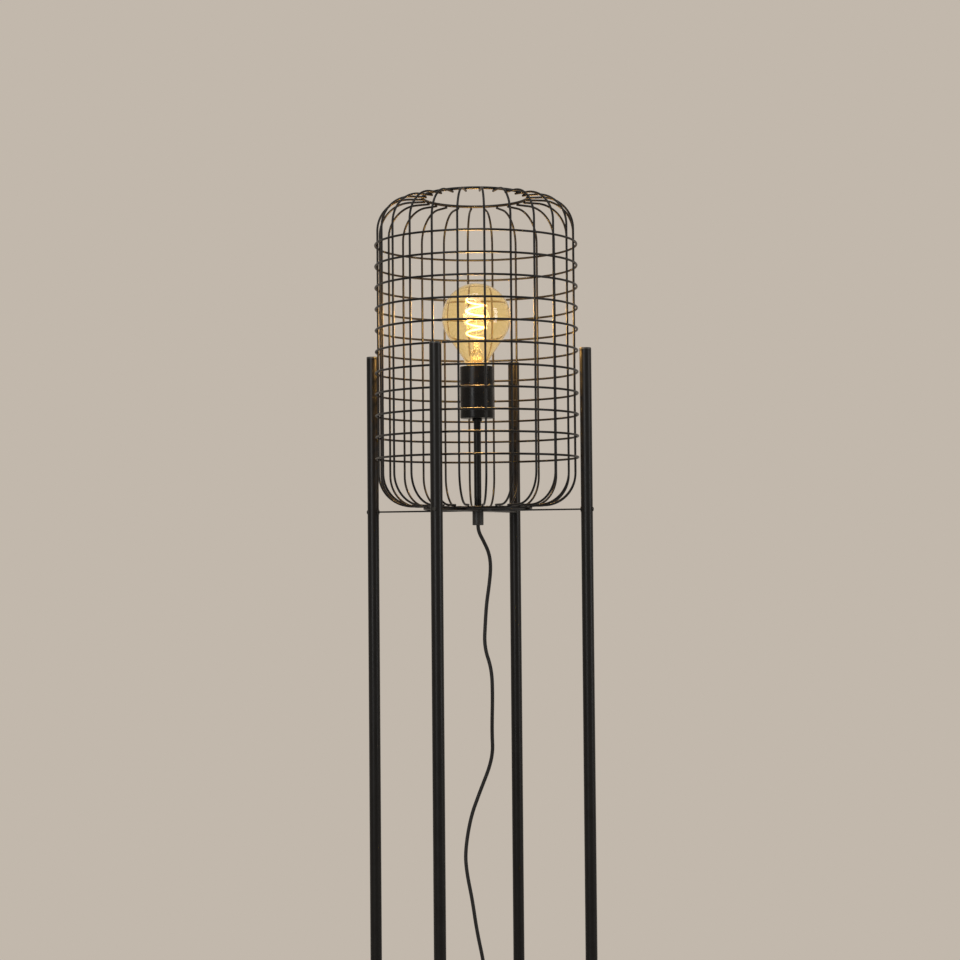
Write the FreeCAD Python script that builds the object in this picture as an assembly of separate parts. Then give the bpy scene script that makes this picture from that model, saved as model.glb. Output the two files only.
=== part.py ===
import FreeCAD, Part
import math
import os
os.makedirs("parts", exist_ok=True)

# A wire cage floor lamp: a welded cage of bent uprights and hoops stands on a
# flat steel cross, which four tubular legs carry. A lampholder on a threaded
# pipe rises from the middle of the cross and holds a large globe bulb inside
# the cage. The flex leaves through a cord grip under the cross, hangs to the
# floor, and goes through a foot switch and a tied coil to its plug.
# Millimetres. The origin lies on the floor, under the middle of the lamp, and
# +Z points up. The legs stand on the corners of a square along X and Y.

# ---- Driving dimensions ------------------------------------------------

# Cage
cage_radius = 135.6          # centre line of the upright wires
cage_height = 422.6          # between the uprights' lower and upper centre planes
wire_d = 3.0                 # uprights and hoops
ring_wire_d = 4.0            # the two end rings
shoulder_radius = 44.0       # bend of an upright, on its centre line
ring_setback = 18.6          # centre line of an end ring inside the end of the bends
wire_end_reach = 2.2         # how far an upright's end passes inside a ring's centre line
upright_count = 24
uprights_per_node = 4
upright_phase = 9.9          # degrees from +X to the first upright
hoop_count = 11
hoop_rise = 21.4             # lowest hoop above the end of the lower bends
hoop_drop = 19.2             # highest hoop below the start of the upper bends
weld_gap = 0.1               # left open where two round wires are spot welded

# Legs and cross
plate_level = 1065.8         # underside of the cross above the floor
plate_thickness = 2.0
hub_radius = 28.0
arm_root_width = 26.0
arm_tip_width = 12.0
hub_fillet = 9.0
leg_gap = 8.1                # between the hoops and the legs
leg_d = 16.0
leg_wall = 1.2
leg_rise = 219.2             # leg top above the underside of the cross
foot_flange = 4.0
foot_chamfer = 1.0
cap_flange = 2.5
cap_fillet = 0.8
insert_depth = 13.0          # plastic inserts inside the tube's ends
insert_gap = 0.05            # radial, insert to tube
sleeve_d = 8.0               # threaded sleeves welded to the arms' ends
sleeve_gap = 0.15            # radial, sleeve to the hole in the leg
screw_d = 4.0
screw_gap = 0.05             # radial, screw to sleeve
screw_length = 9.0
screw_head_d = 5.6
screw_head_height = 1.0
screw_socket_af = 2.5
screw_socket_depth = 0.6
seat_gap = 0.1               # between a part and the curved face that it seats on

# Pipe, nuts and cord grip
pipe_d = 10.0
pipe_bore = 7.0
pipe_gap = 0.05              # radial, round the pipe's thread
stem_rise = 125.8            # top of the cross to the bottom of the holder's cup
grip_thread = 9.0            # pipe below the cross
nut_af = 13.0
nut_height = 4.0
grip_d = 15.3
grip_height = 19.0
grip_chamfer = 0.8
grip_screw_d = 3.0
grip_screw_rise = 5.0        # above the grip's lower end
grip_screw_proud = 0.8

# Lampholder
cup_d = 46.4
cup_height = 71.5
cup_wall = 1.0
cup_fillet = 1.5
base_d = 40.0
socket_depth = 10.0          # pipe thread inside the holder's base
neck_height = 12.0           # solid foot of the base
terminal_bore = 30.0
carrier_d = 33.8
carrier_gap = 0.1            # radial, carrier to the base and the skirt
carrier_height = 11.0
carrier_proud = 2.0          # carrier above the base
tongue_height = 6.4
tongue_width = 6.0
strip = 0.6                  # thickness of the contact strip
seat_depth = 26.5            # bulb's tip below the cup's rim
contact_gap = 0.2            # bulb's tip above the contact strip
skirt_recess = 4.5           # skirt below the cup's rim
shell_bore = 27.0            # screw shell, drawn plain
shell_wall = 0.5
shell_gap = 0.15             # radial, shell to skirt
shell_recess = 6.0           # screw shell below the cup's rim
shell_lip = 5.0              # width of the shell's inward foot
block_width = 6.0
block_depth = 7.0
block_height = 9.0
block_offset = 8.0
core_gap = 0.2               # radial, core to the hole in its terminal

# Bulb
globe_d = 95.0
bulb_length = 141.9
cone_angle = 35.0            # glass below the globe, from the vertical
neck_d = 34.0
neck_fillet = 14.0
glass_wall = 0.9
cap_d = 26.2
cap_wall = 0.6
cap_height = 27.0            # bulb's tip to the top of its cap
cap_skirt = 5.5              # bulb's tip to the lower edge of its cap
cap_glass_gap = 0.05         # radial, glass neck inside the cap
glass_foot = 15.0            # bulb's tip to the lower end of the glass
tip_d = 9.5
tip_height = 1.5
mount_d = 19.0
mount_rod_d = 8.0
mount_rise = 61.4            # bulb's tip to the top of the glass mount
mount_shoulder = 41.4        # bulb's tip to the top of the mount's wide part
mount_taper = 11.0
mount_wall = 1.0
filament_d = 2.4
filament_radius = 13.5
filament_pitch = 15.4
filament_turns = 3.5
filament_rise = 66.0         # bulb's tip to the filament's lower end
support_d = 0.8
support_offset = 2.4

# Flex
cord_d = 5.0
core_d = 2.2
core_offset = 1.25
coil_radius = 37.0           # where the coil is entered
coil_pitch = 5.6             # from turn to turn, and from layer to layer
coil_turns_in = 2.5
coil_turns_out = 2.25
coil_x = -45.0
coil_y = 45.0
tie_width = 9.0
tie_thickness = 0.7
tie_gap = 0.2                # tie to the turns, above and below
tie_side_gap = 1.0           # tie to the curved turns, inside and outside

# Foot switch
switch_length = 80.0
switch_width = 34.0
switch_height = 20.0
switch_split = 8.0
switch_wall = 2.0
switch_dome = 7.0            # rounding of the cover's top edge
switch_y = -78.0
switch_entry = 6.0           # cord's axis above the floor
relief_length = 20.0
relief_root_d = 9.0
relief_tip_d = 6.4
relief_stub = 4.0
relief_stub_d = 7.0
relief_gap = 0.1             # radial, stub to the switch's wall
button_d = 15.4
button_gap = 0.3             # radial, button to the cover
button_proud = 3.0
button_travel = 2.5
button_flange = 1.8          # width of the button's collar
button_flange_height = 1.5
button_stop_gap = 0.3        # collar below the cover's inner face
button_fillet = 0.8
spring_d = 10.0              # outside
spring_wire = 1.0
spring_turns = 5.0
spring_gap = 0.05            # spring to the floor and to the collar

# Plug
plug_height = 13.7
plug_front_width = 35.3
plug_back_width = 13.0
plug_length = 36.0
plug_slope_start = 8.0
plug_slope_end = 22.0
plug_fillet = 2.0
plug_x = 40.0                # back face of the plug's body
plug_y = 80.0
plug_relief_root_d = 9.5
pin_d = 4.0
pin_length = 19.0
pin_spacing = 18.6
pin_depth = 9.0
pin_gap = 0.05
pin_fillet = 1.2

# ---- Levels and places worked out from them ----------------------------

plate_top = plate_level + plate_thickness
plate_mid = plate_level + plate_thickness / 2
lower_plane = plate_top + 2 * weld_gap + ring_wire_d + wire_d / 2
upper_plane = lower_plane + cage_height
ring_radius = cage_radius - shoulder_radius - ring_setback
ring_offset = wire_d / 2 + weld_gap + ring_wire_d / 2
hoop_radius = cage_radius + wire_d + weld_gap
lowest_hoop = lower_plane + shoulder_radius + hoop_rise
highest_hoop = upper_plane - shoulder_radius - hoop_drop
hoop_pitch = (highest_hoop - lowest_hoop) / (hoop_count - 1)
leg_radius = hoop_radius + wire_d / 2 + leg_gap + leg_d / 2
leg_top = plate_level + leg_rise
leg_bore = leg_d - 2 * leg_wall
arm_reach = leg_radius - leg_d / 2 - seat_gap

cup_bottom = plate_top + stem_rise
cup_floor = cup_bottom + cup_wall
cup_rim = cup_bottom + cup_height
bulb_tip = cup_rim - seat_depth
carrier_top = bulb_tip - contact_gap - tongue_height
carrier_bottom = carrier_top - carrier_height
base_top = carrier_top - carrier_proud
neck_top = cup_floor + neck_height
pipe_bottom = plate_level - grip_thread
pipe_top = cup_floor + socket_depth - seat_gap
grip_bottom = plate_level - grip_height
lead_top = neck_top + 0.5

globe_centre = bulb_tip + bulb_length - globe_d / 2

coil_layer_1 = cord_d / 2 + tie_thickness + tie_gap
coil_layer_2 = coil_layer_1 + coil_pitch
coil_inner_radius = coil_radius - coil_turns_in * coil_pitch
coil_exit_radius = coil_inner_radius + coil_turns_out * coil_pitch
plug_axis = plug_height / 2

# Routes of the free flex: points chosen by hand, in millimetres. The first
# hangs from the cord grip and runs over the floor to the foot switch.
ROUTE_TO_SWITCH = [
    (0.0, 0.0, 1046.8),
    (0.0, 0.0, 1031.0),
    (9.5, -3.3, 1012.5),
    (17.6, -4.9, 991.0),
    (14.8, -1.4, 955.0),
    (9.8, -0.2, 915.0),
    (6.3, -3.0, 880.0),
    (13.7, -10.8, 850.0),
    (13.8, -13.0, 815.0),
    (13.7, -9.7, 765.0),
    (17.2, -5.8, 728.0),
    (0.3, 5.4, 678.0),
    (-9.7, 12.3, 645.0),
    (-16.9, 14.5, 600.0),
    (-16.4, 11.0, 572.0),
    (-10.9, 5.1, 535.0),
    (-7.2, 0.0, 495.0),
    (0.6, -5.8, 450.0),
    (6.0, -6.1, 405.0),
    (3.6, -1.7, 350.0),
    (-3.7, 6.2, 295.0),
    (-6.0, 8.3, 240.0),
    (-1.0, 2.7, 185.0),
    (1.8, -0.8, 135.0),
    (1.2, 0.4, 90.0),
    (1.5, -0.6, 55.0),
    (12.0, -1.0, 19.0),
    (44.0, -1.8, 2.5),
    (81.5, -3.5, 2.5),
    (103.5, -25.5, 2.5),
    (103.0, -56.0, 2.5),
    (85.5, -78.0, 6.0),
    (60.0, -78.0, 6.0),
]
ROUTE_TO_COIL = [
    (-60.0, -78.0, 6.0),
    (-84.0, -78.0, 6.0),
    (-103.5, -56.5, 2.5),
    (-103.0, -25.0, 2.6),
    (-82.0, 11.0, 3.4),
    (-82.0, 40.0, 3.4),
]
ROUTE_TO_PLUG = [
    (-40.0, 80.6, 9.0),
    (-28.0, 80.6, 9.0),
    (-14.0, 81.4, 6.0),
    (0.0, 79.6, 5.5),
    (10.5, 80.0, 6.85),
    (20.0, 80.0, 6.85),
]

# ---- Small helpers -----------------------------------------------------

UP = FreeCAD.Vector(0, 0, 1)
ORIGIN = FreeCAD.Vector(0, 0, 0)


def at(x, y, z):
    return FreeCAD.Vector(x, y, z)


def disc(diameter, z0, z1, x=0.0, y=0.0):
    """A solid round bar standing between two levels."""
    return Part.makeCylinder(diameter / 2, z1 - z0, at(x, y, z0), UP)


def tube(outer_d, inner_d, z0, z1, x=0.0, y=0.0):
    """A round tube standing between two levels."""
    return disc(outer_d, z0, z1, x, y).cut(disc(inner_d, z0 - 1, z1 + 1, x, y))


def hexagon(flats, z0, z1):
    """A hexagonal bar, flats apart, standing between two levels."""
    corner = flats / math.sqrt(3)
    points = []
    for i in range(7):
        angle = math.radians(60 * i)
        points.append(at(corner * math.cos(angle), corner * math.sin(angle), z0))
    return Part.Face(Part.makePolygon(points)).extrude(at(0, 0, z1 - z0))


def turned(points):
    """A solid of revolution about Z from a closed outline of (radius, level)."""
    corners = [at(r, 0, z) for r, z in points]
    corners.append(corners[0])
    return Part.Face(Part.makePolygon(corners)).revolve(ORIGIN, UP, 360)


def round_tube(edges, diameter):
    """A round bar swept along a chain of tangent edges."""
    path = Part.Wire(edges)
    start = edges[0].Vertexes[0].Point
    heading = edges[0].tangentAt(edges[0].FirstParameter)
    section = Part.Wire([Part.makeCircle(diameter / 2, start, heading)])
    return path.makePipeShell([section], True, False)


def arc_edge(start, middle, end):
    return Part.Arc(start, middle, end).toShape()


def line_edge(start, end):
    return Part.LineSegment(start, end).toShape()


def turn_by(shape, degrees, centre=ORIGIN):
    copy = shape.copy()
    copy.rotate(centre, UP, degrees)
    return copy


def moved(shape, x, y, z):
    copy = shape.copy()
    copy.translate(at(x, y, z))
    return copy


def save(name, shapes):
    """Write one node, from one solid or from a group of separate solids."""
    solids = []
    for shape in shapes:
        solids.extend(shape.Solids)
    for solid in solids:
        if not solid.isValid() or solid.Volume <= 0:
            raise RuntimeError("bad solid in " + name)
    node = solids[0] if len(solids) == 1 else Part.makeCompound(solids)
    node.exportStep("parts/" + name + ".step")


def corner_arc(before, corner, after):
    """The arc that rounds a route's corner, and its radius."""
    run_in = corner - before
    run_out = after - corner
    turn = run_in.getAngle(run_out)
    shorter = min(run_in.Length, run_out.Length)
    radius = 0.45 * shorter / math.tan(turn / 2)
    setback = 0.45 * shorter
    start = corner - run_in * (setback / run_in.Length)
    end = corner + run_out * (setback / run_out.Length)
    half_chord = (end - start).Length / 2
    middle_chord = (start + end) * 0.5
    middle = middle_chord + (corner - middle_chord) * (half_chord / (setback + half_chord))
    return start, middle, end, radius


def route_edges(points):
    """Straight runs joined by tangent arcs, and the arcs' radii."""
    corners = [at(*p) for p in points]
    edges = []
    radii = []
    last = corners[0]
    for i in range(1, len(corners) - 1):
        start, middle, end, radius = corner_arc(corners[i - 1], corners[i], corners[i + 1])
        edges.append(line_edge(last, start))
        edges.append(arc_edge(start, middle, end))
        radii.append(radius)
        last = end
    edges.append(line_edge(last, corners[-1]))
    return edges, radii


def flex(name, points):
    """A free stretch of flex along a route; prints its length and radii."""
    edges, radii = route_edges(points)
    solid = round_tube(edges, cord_d)
    length = sum(edge.Length for edge in edges)
    ideal = math.pi * cord_d ** 2 / 4 * length
    print(name, "length", round(length, 1), "volume ratio", round(solid.Volume / ideal, 5))
    print("  radii", [round(r) for r in radii])
    save(name, [solid])
    return length


def biarc(start, start_heading, end, end_heading):
    """Two arcs that join two points and are tangent to both headings."""
    gap = end - start
    both = start_heading + end_heading
    a = both.dot(both) - 4
    b = -2 * gap.dot(both)
    c = gap.dot(gap)
    reach = (-b - math.sqrt(b * b - 4 * a * c)) / (2 * a)
    first = start + start_heading * reach
    second = end - end_heading * reach
    joint = (first + second) * 0.5
    edges = []
    for tail, control, head in ((start, first, joint), (joint, second, end)):
        half_chord = (head - tail).Length / 2
        chord_middle = (tail + head) * 0.5
        middle = chord_middle + (control - chord_middle) * (half_chord / (reach + half_chord))
        edges.append(arc_edge(tail, middle, head))
    return edges


def wound(place, quarters):
    """Biarcs over quarter turns of a curve given by place(quarter)."""
    step = 0.001
    edges = []
    for i in range(quarters):
        start = place(i)
        end = place(i + 1)
        start_heading = (place(i + step) - place(i - step)).normalize()
        end_heading = (place(i + 1 + step) - place(i + 1 - step)).normalize()
        edges.extend(biarc(start, start_heading, end, end_heading))
    return edges


def least_gap(edges, diameter, apart):
    """Least clear gap between stretches of a wound tube, measured on points."""
    places = []
    travelled = []
    total = 0.0
    for edge in edges:
        count = max(3, int(edge.Length / 1.5))
        for point in edge.discretize(count)[:-1]:
            if places:
                total += (point - places[-1]).Length
            places.append(point)
            travelled.append(total)
    least = 1e9
    for i in range(len(places)):
        for j in range(i + 1, len(places)):
            if travelled[j] - travelled[i] > apart:
                least = min(least, (places[i] - places[j]).Length)
    return least - diameter


# ---- Cage --------------------------------------------------------------

def upright():
    """One wire, bent inward over a quarter circle at both ends."""
    inner = ring_radius - wire_end_reach
    bend_start = cage_radius - shoulder_radius
    slant = shoulder_radius * math.sqrt(0.5)
    upper_mid = upper_plane - shoulder_radius + slant
    lower_mid = lower_plane + shoulder_radius - slant
    mid_radius = bend_start + slant
    edges = [
        line_edge(at(inner, 0, lower_plane), at(bend_start, 0, lower_plane)),
        arc_edge(
            at(bend_start, 0, lower_plane),
            at(mid_radius, 0, lower_mid),
            at(cage_radius, 0, lower_plane + shoulder_radius),
        ),
        line_edge(
            at(cage_radius, 0, lower_plane + shoulder_radius),
            at(cage_radius, 0, upper_plane - shoulder_radius),
        ),
        arc_edge(
            at(cage_radius, 0, upper_plane - shoulder_radius),
            at(mid_radius, 0, upper_mid),
            at(bend_start, 0, upper_plane),
        ),
        line_edge(at(bend_start, 0, upper_plane), at(inner, 0, upper_plane)),
    ]
    return round_tube(edges, wire_d)


upright_wire = upright()
upright_step = 360.0 / upright_count
for group in range(upright_count // uprights_per_node):
    wires = []
    for k in range(uprights_per_node):
        number = group * uprights_per_node + k
        wires.append(turn_by(upright_wire, upright_phase + number * upright_step))
    save("upright_wires_%d" % (group + 1), wires)

for i in range(hoop_count):
    level = lowest_hoop + i * hoop_pitch
    hoop = Part.makeTorus(hoop_radius, wire_d / 2, at(0, 0, level), UP)
    save("hoop_%02d" % (i + 1), [hoop])

# The bottom ring lies under the uprights' ends, and the top ring on them.
for name, level in (("bottom_ring", lower_plane - ring_offset), ("top_ring", upper_plane + ring_offset)):
    save(name, [Part.makeTorus(ring_radius, ring_wire_d / 2, at(0, 0, level), UP)])

# ---- Cross: laser-cut hub with four tapering arms ----------------------

def cross_plate():
    hub = disc(2 * hub_radius, plate_level, plate_top)
    outline = [
        at(0, -arm_root_width / 2, plate_level),
        at(arm_reach, -arm_tip_width / 2, plate_level),
        at(arm_reach, arm_tip_width / 2, plate_level),
        at(0, arm_root_width / 2, plate_level),
        at(0, -arm_root_width / 2, plate_level),
    ]
    arm = Part.Face(Part.makePolygon(outline)).extrude(at(0, 0, plate_thickness))
    shape = hub
    for k in range(4):
        shape = shape.fuse(turn_by(arm, 45 + 90 * k))
    shape = shape.removeSplitter()
    inner_corners = []
    for edge in shape.Edges:
        ends = [v.Point for v in edge.Vertexes]
        if len(ends) != 2 or abs(ends[0].z - ends[1].z) < plate_thickness / 2:
            continue
        away = math.hypot(ends[0].x, ends[0].y)
        if abs(away - hub_radius) < 0.5:
            inner_corners.append(edge)
    shape = shape.makeFillet(hub_fillet, inner_corners)
    return shape.cut(disc(pipe_d + 2 * pipe_gap, plate_level - 1, plate_top + 1))


save("cross_plate", [cross_plate()])

# ---- Legs, with their inserts, sleeves and screws ----------------------

LEG_NAMES = ("back_right", "back_left", "front_left", "front_right")
sleeve_outer = leg_radius + math.sqrt((leg_bore / 2) ** 2 - (sleeve_d / 2) ** 2) - seat_gap


def radial_bar(diameter, r0, r1):
    """A round bar along +X at the level of the cross."""
    return Part.makeCylinder(diameter / 2, r1 - r0, at(r0, 0, plate_mid), at(1, 0, 0))


def leg():
    body = tube(leg_d, leg_bore, foot_flange, leg_top - cap_flange, leg_radius, 0)
    inner_hole = radial_bar(sleeve_d + 2 * sleeve_gap, leg_radius - leg_d, leg_radius)
    outer_hole = radial_bar(screw_d + 2 * sleeve_gap, leg_radius, leg_radius + leg_d)
    return body.cut(inner_hole).cut(outer_hole)


def foot():
    flange = disc(leg_d, 0, foot_flange, leg_radius, 0)
    lowest = [e for e in flange.Edges if e.BoundBox.ZMax < 0.01]
    flange = flange.makeChamfer(foot_chamfer, lowest)
    stub = disc(leg_bore - 2 * insert_gap, 0.5 * foot_flange, foot_flange + insert_depth, leg_radius, 0)
    return flange.fuse(stub).removeSplitter()


def cap():
    flange = disc(leg_d, leg_top - cap_flange, leg_top, leg_radius, 0)
    highest = [e for e in flange.Edges if e.BoundBox.ZMin > leg_top - 0.01]
    flange = flange.makeFillet(cap_fillet, highest)
    low = leg_top - cap_flange - insert_depth
    stub = disc(leg_bore - 2 * insert_gap, low, leg_top - 0.5 * cap_flange, leg_radius, 0)
    return flange.fuse(stub).removeSplitter()


def sleeve():
    bar = radial_bar(sleeve_d, arm_reach, sleeve_outer)
    bore_start = leg_radius + leg_d / 2 - screw_length - 1
    return bar.cut(radial_bar(screw_d + 2 * screw_gap, bore_start, sleeve_outer + 1))


def leg_screw():
    seat = leg_radius + leg_d / 2 + seat_gap
    shank = radial_bar(screw_d, seat - screw_length, seat + screw_head_height / 2)
    head = radial_bar(screw_head_d, seat, seat + screw_head_height)
    socket = hexagon(screw_socket_af, 0, screw_socket_depth)
    socket.rotate(ORIGIN, at(0, 1, 0), 90)
    socket.translate(at(seat + screw_head_height - screw_socket_depth, 0, plate_mid))
    return shank.fuse(head).removeSplitter().cut(socket)


leg_tube = leg()
for k in range(4):
    save("leg_" + LEG_NAMES[k], [turn_by(leg_tube, 45 + 90 * k)])
for name, piece in (
    ("leg_feet", foot()),
    ("leg_caps", cap()),
    ("arm_sleeves", sleeve()),
    ("leg_screws", leg_screw()),
):
    save(name, [turn_by(piece, 45 + 90 * k) for k in range(4)])

# ---- Threaded pipe, its nuts and the cord grip -------------------------

save("stem_pipe", [tube(pipe_d, pipe_bore, pipe_bottom, pipe_top)])

nut_bore_d = pipe_d + 2 * pipe_gap
nuts = []
for z0 in (plate_top, cup_bottom - nut_height):
    nuts.append(hexagon(nut_af, z0, z0 + nut_height).cut(disc(nut_bore_d, z0 - 1, z0 + nut_height + 1)))
save("stem_nuts", nuts)


def side_bar(diameter, r0, r1, level):
    """A round bar along +Y at a level."""
    return Part.makeCylinder(diameter / 2, r1 - r0, at(0, r0, level), at(0, 1, 0))


grip_screw_level = grip_bottom + grip_screw_rise
grip = disc(grip_d, grip_bottom, plate_level)
grip = grip.makeChamfer(grip_chamfer, [e for e in grip.Edges if e.BoundBox.ZMax < grip_bottom + 0.01])
grip = grip.cut(disc(pipe_d + 2 * pipe_gap, pipe_bottom - seat_gap, plate_level + 1))
grip = grip.cut(disc(cord_d + 2 * pipe_gap, grip_bottom - 1, plate_level))
grip = grip.cut(side_bar(grip_screw_d + 2 * pipe_gap, 0, grip_d, grip_screw_level))
save("cord_grip", [grip])

grip_screw_end = grip_d / 2 + grip_screw_proud
grip_screw = side_bar(grip_screw_d, cord_d / 2 + pipe_gap, grip_screw_end, grip_screw_level)
slot = Part.makeBox(grip_screw_d + 1, 0.6, 0.6)
slot.translate(at(-(grip_screw_d + 1) / 2, grip_screw_end - 0.6, grip_screw_level - 0.3))
save("grip_screw", [grip_screw.cut(slot)])

# ---- Lampholder --------------------------------------------------------

cup = disc(cup_d, cup_bottom, cup_rim)
cup = cup.makeFillet(cup_fillet, [e for e in cup.Edges if e.BoundBox.ZMax < cup_bottom + 0.01])
cup = cup.cut(disc(cup_d - 2 * cup_wall, cup_floor, cup_rim + 1))
cup = cup.cut(disc(pipe_d + 2 * pipe_gap, cup_bottom - 1, cup_floor + 1))
save("holder_cup", [cup])

base = disc(base_d, cup_floor, base_top)
base = base.cut(disc(pipe_d + 2 * pipe_gap, cup_floor - 1, cup_floor + socket_depth))
base = base.cut(disc(pipe_bore, cup_floor, neck_top + 1))
base = base.cut(disc(terminal_bore, neck_top, carrier_bottom + 1))
base = base.cut(disc(carrier_d + 2 * carrier_gap, carrier_bottom, base_top + 1))
save("holder_base", [base])

carrier = disc(carrier_d, carrier_bottom, carrier_top)
save("contact_carrier", [carrier])

shell_d = shell_bore + 2 * shell_wall
skirt = disc(base_d, base_top, cup_rim - skirt_recess)
skirt = skirt.cut(disc(carrier_d + 2 * carrier_gap, base_top - 1, carrier_top + seat_gap))
skirt = skirt.cut(disc(shell_d + 2 * shell_gap, base_top, cup_rim))
save("holder_skirt", [skirt])

shell = tube(shell_d, shell_bore, carrier_top, cup_rim - shell_recess)
shell_foot = tube(shell_d, shell_bore - 2 * shell_lip, carrier_top, carrier_top + shell_wall)
save("screw_shell", [shell.fuse(shell_foot).removeSplitter()])

tongue_top = bulb_tip - contact_gap
tongue_outline = [
    (-6.0, carrier_top),
    (5.0, carrier_top),
    (5.0, carrier_top + strip),
    (-6.0 + strip, carrier_top + strip),
    (-6.0 + strip, tongue_top - strip),
    (4.0, tongue_top - strip),
    (4.0, tongue_top),
    (-6.0, tongue_top),
    (-6.0, carrier_top),
]
tongue_face = Part.Face(Part.makePolygon([at(x, -tongue_width / 2, z) for x, z in tongue_outline]))
save("centre_contact", [tongue_face.extrude(at(0, tongue_width, 0))])

blocks = []
for side in (-1, 1):
    block = Part.makeBox(block_width, block_depth, block_height)
    block.translate(at(side * block_offset - block_width / 2, -block_depth / 2, carrier_bottom - block_height))
    wire_hole = disc(core_d + 2 * core_gap, carrier_bottom - block_height - 1, carrier_bottom - 2, side * block_offset, 0)
    blocks.append(block.cut(wire_hole))
save("terminal_blocks", blocks)

save("stem_lead", [disc(cord_d, grip_bottom, lead_top)])

cores = []
for side in (-1, 1):
    core_route = [
        (side * core_offset, 0.0, lead_top),
        (side * core_offset, 0.0, lead_top + 1.5),
        (side * block_offset, 0.0, carrier_bottom - block_height - 1.5),
        (side * block_offset, 0.0, carrier_bottom - block_height + 4.0),
    ]
    cores.append(round_tube(route_edges(core_route)[0], core_d))
save("core_wires", cores)

# ---- Bulb --------------------------------------------------------------

save("bulb_contact", [turned([
    (0.0, bulb_tip),
    (tip_d * 0.25, bulb_tip + tip_height * 0.1),
    (tip_d * 0.42, bulb_tip + tip_height * 0.45),
    (tip_d * 0.5, bulb_tip + tip_height),
    (0.0, bulb_tip + tip_height),
])])

cap_inner = cap_d / 2 - cap_wall
save("bulb_insulator", [turned([
    (0.0, bulb_tip + tip_height),
    (tip_d * 0.5 + 1.0, bulb_tip + tip_height),
    (cap_inner - 1.5, bulb_tip + cap_skirt),
    (cap_inner - insert_gap, bulb_tip + cap_skirt + 0.5),
    (cap_inner - insert_gap, bulb_tip + cap_skirt + 3.0),
    (0.0, bulb_tip + cap_skirt + 3.0),
])])

save("bulb_cap", [tube(cap_d, cap_d - 2 * cap_wall, bulb_tip + cap_skirt, bulb_tip + cap_height)])


def glass_outline(inset):
    """Edges of the bulb's profile, from its top to its foot."""
    angle = math.radians(cone_angle)
    globe = globe_d / 2 - inset
    neck = neck_d / 2 - inset
    fillet = neck_fillet + inset
    foot_radius = cap_inner - cap_glass_gap - inset
    centre = at(0, 0, globe_centre)

    def on_globe(below):
        return centre + at(globe * math.cos(below), 0, -globe * math.sin(below))

    cone_start = on_globe(angle)
    drop = (cone_start.x - neck) / math.tan(angle)
    corner = at(neck, 0, cone_start.z - drop)
    setback = fillet * math.tan(angle / 2)
    cone_end = corner + at(setback * math.sin(angle), 0, setback * math.cos(angle))
    neck_start = corner - at(0, 0, setback)
    fillet_centre = neck_start + at(fillet, 0, 0)
    fillet_middle = fillet_centre + at(
        -fillet * math.cos(angle / 2), 0, fillet * math.sin(angle / 2)
    )
    neck_end = at(neck, 0, bulb_tip + cap_height + 4.0)
    foot_start = at(foot_radius, 0, bulb_tip + cap_height + seat_gap)
    foot_end = at(foot_radius, 0, bulb_tip + glass_foot)
    top = centre + at(0, 0, globe)
    return [
        arc_edge(top, on_globe(math.radians(-45)), on_globe(0.0)),
        arc_edge(on_globe(0.0), on_globe(angle / 2), cone_start),
        line_edge(cone_start, cone_end),
        arc_edge(cone_end, fillet_middle, neck_start),
        line_edge(neck_start, neck_end),
        line_edge(neck_end, foot_start),
        line_edge(foot_start, foot_end),
    ], top, foot_end


outer_edges, outer_top, outer_foot = glass_outline(0.0)
inner_edges, inner_top, inner_foot = glass_outline(glass_wall)
glass_edges = outer_edges + inner_edges
glass_edges.append(line_edge(outer_foot, inner_foot))
glass_edges.append(line_edge(inner_top, outer_top))
glass_face = Part.Face(Part.Wire(Part.__sortEdges__(glass_edges)))
save("bulb_glass", [glass_face.revolve(ORIGIN, UP, 360)])

mount_foot = bulb_tip + glass_foot
mount_top = bulb_tip + mount_rise
mount_wide = bulb_tip + mount_shoulder
rim_radius = cap_inner - cap_glass_gap - glass_wall - seat_gap
mount = turned([
    (0.0, mount_foot),
    (rim_radius, mount_foot),
    (rim_radius, mount_foot + 1.5),
    (mount_d / 2, mount_foot + 5.0),
    (mount_d / 2, mount_wide),
    (mount_rod_d / 2 + 1.0, mount_wide + 0.7 * mount_taper),
    (mount_rod_d / 2, mount_wide + mount_taper),
    (mount_rod_d / 2, mount_top),
    (0.0, mount_top),
])
mount_hollow = turned([
    (0.0, mount_foot - 1.0),
    (rim_radius - mount_wall, mount_foot - 1.0),
    (rim_radius - mount_wall, mount_foot + 1.5),
    (mount_d / 2 - mount_wall, mount_foot + 5.0),
    (mount_d / 2 - mount_wall, mount_wide - mount_wall),
    (0.0, mount_wide + 0.5 * mount_taper),
])
save("bulb_mount", [mount.cut(mount_hollow)])

filament_start = bulb_tip + filament_rise


def on_filament(quarter):
    angle = math.radians(90.0 * quarter)
    return at(
        filament_radius * math.cos(angle),
        filament_radius * math.sin(angle),
        filament_start + filament_pitch * quarter / 4,
    )


filament_quarters = int(round(4 * filament_turns))
filament_edges = wound(on_filament, filament_quarters)
save("filament", [round_tube(filament_edges, filament_d)])

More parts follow.
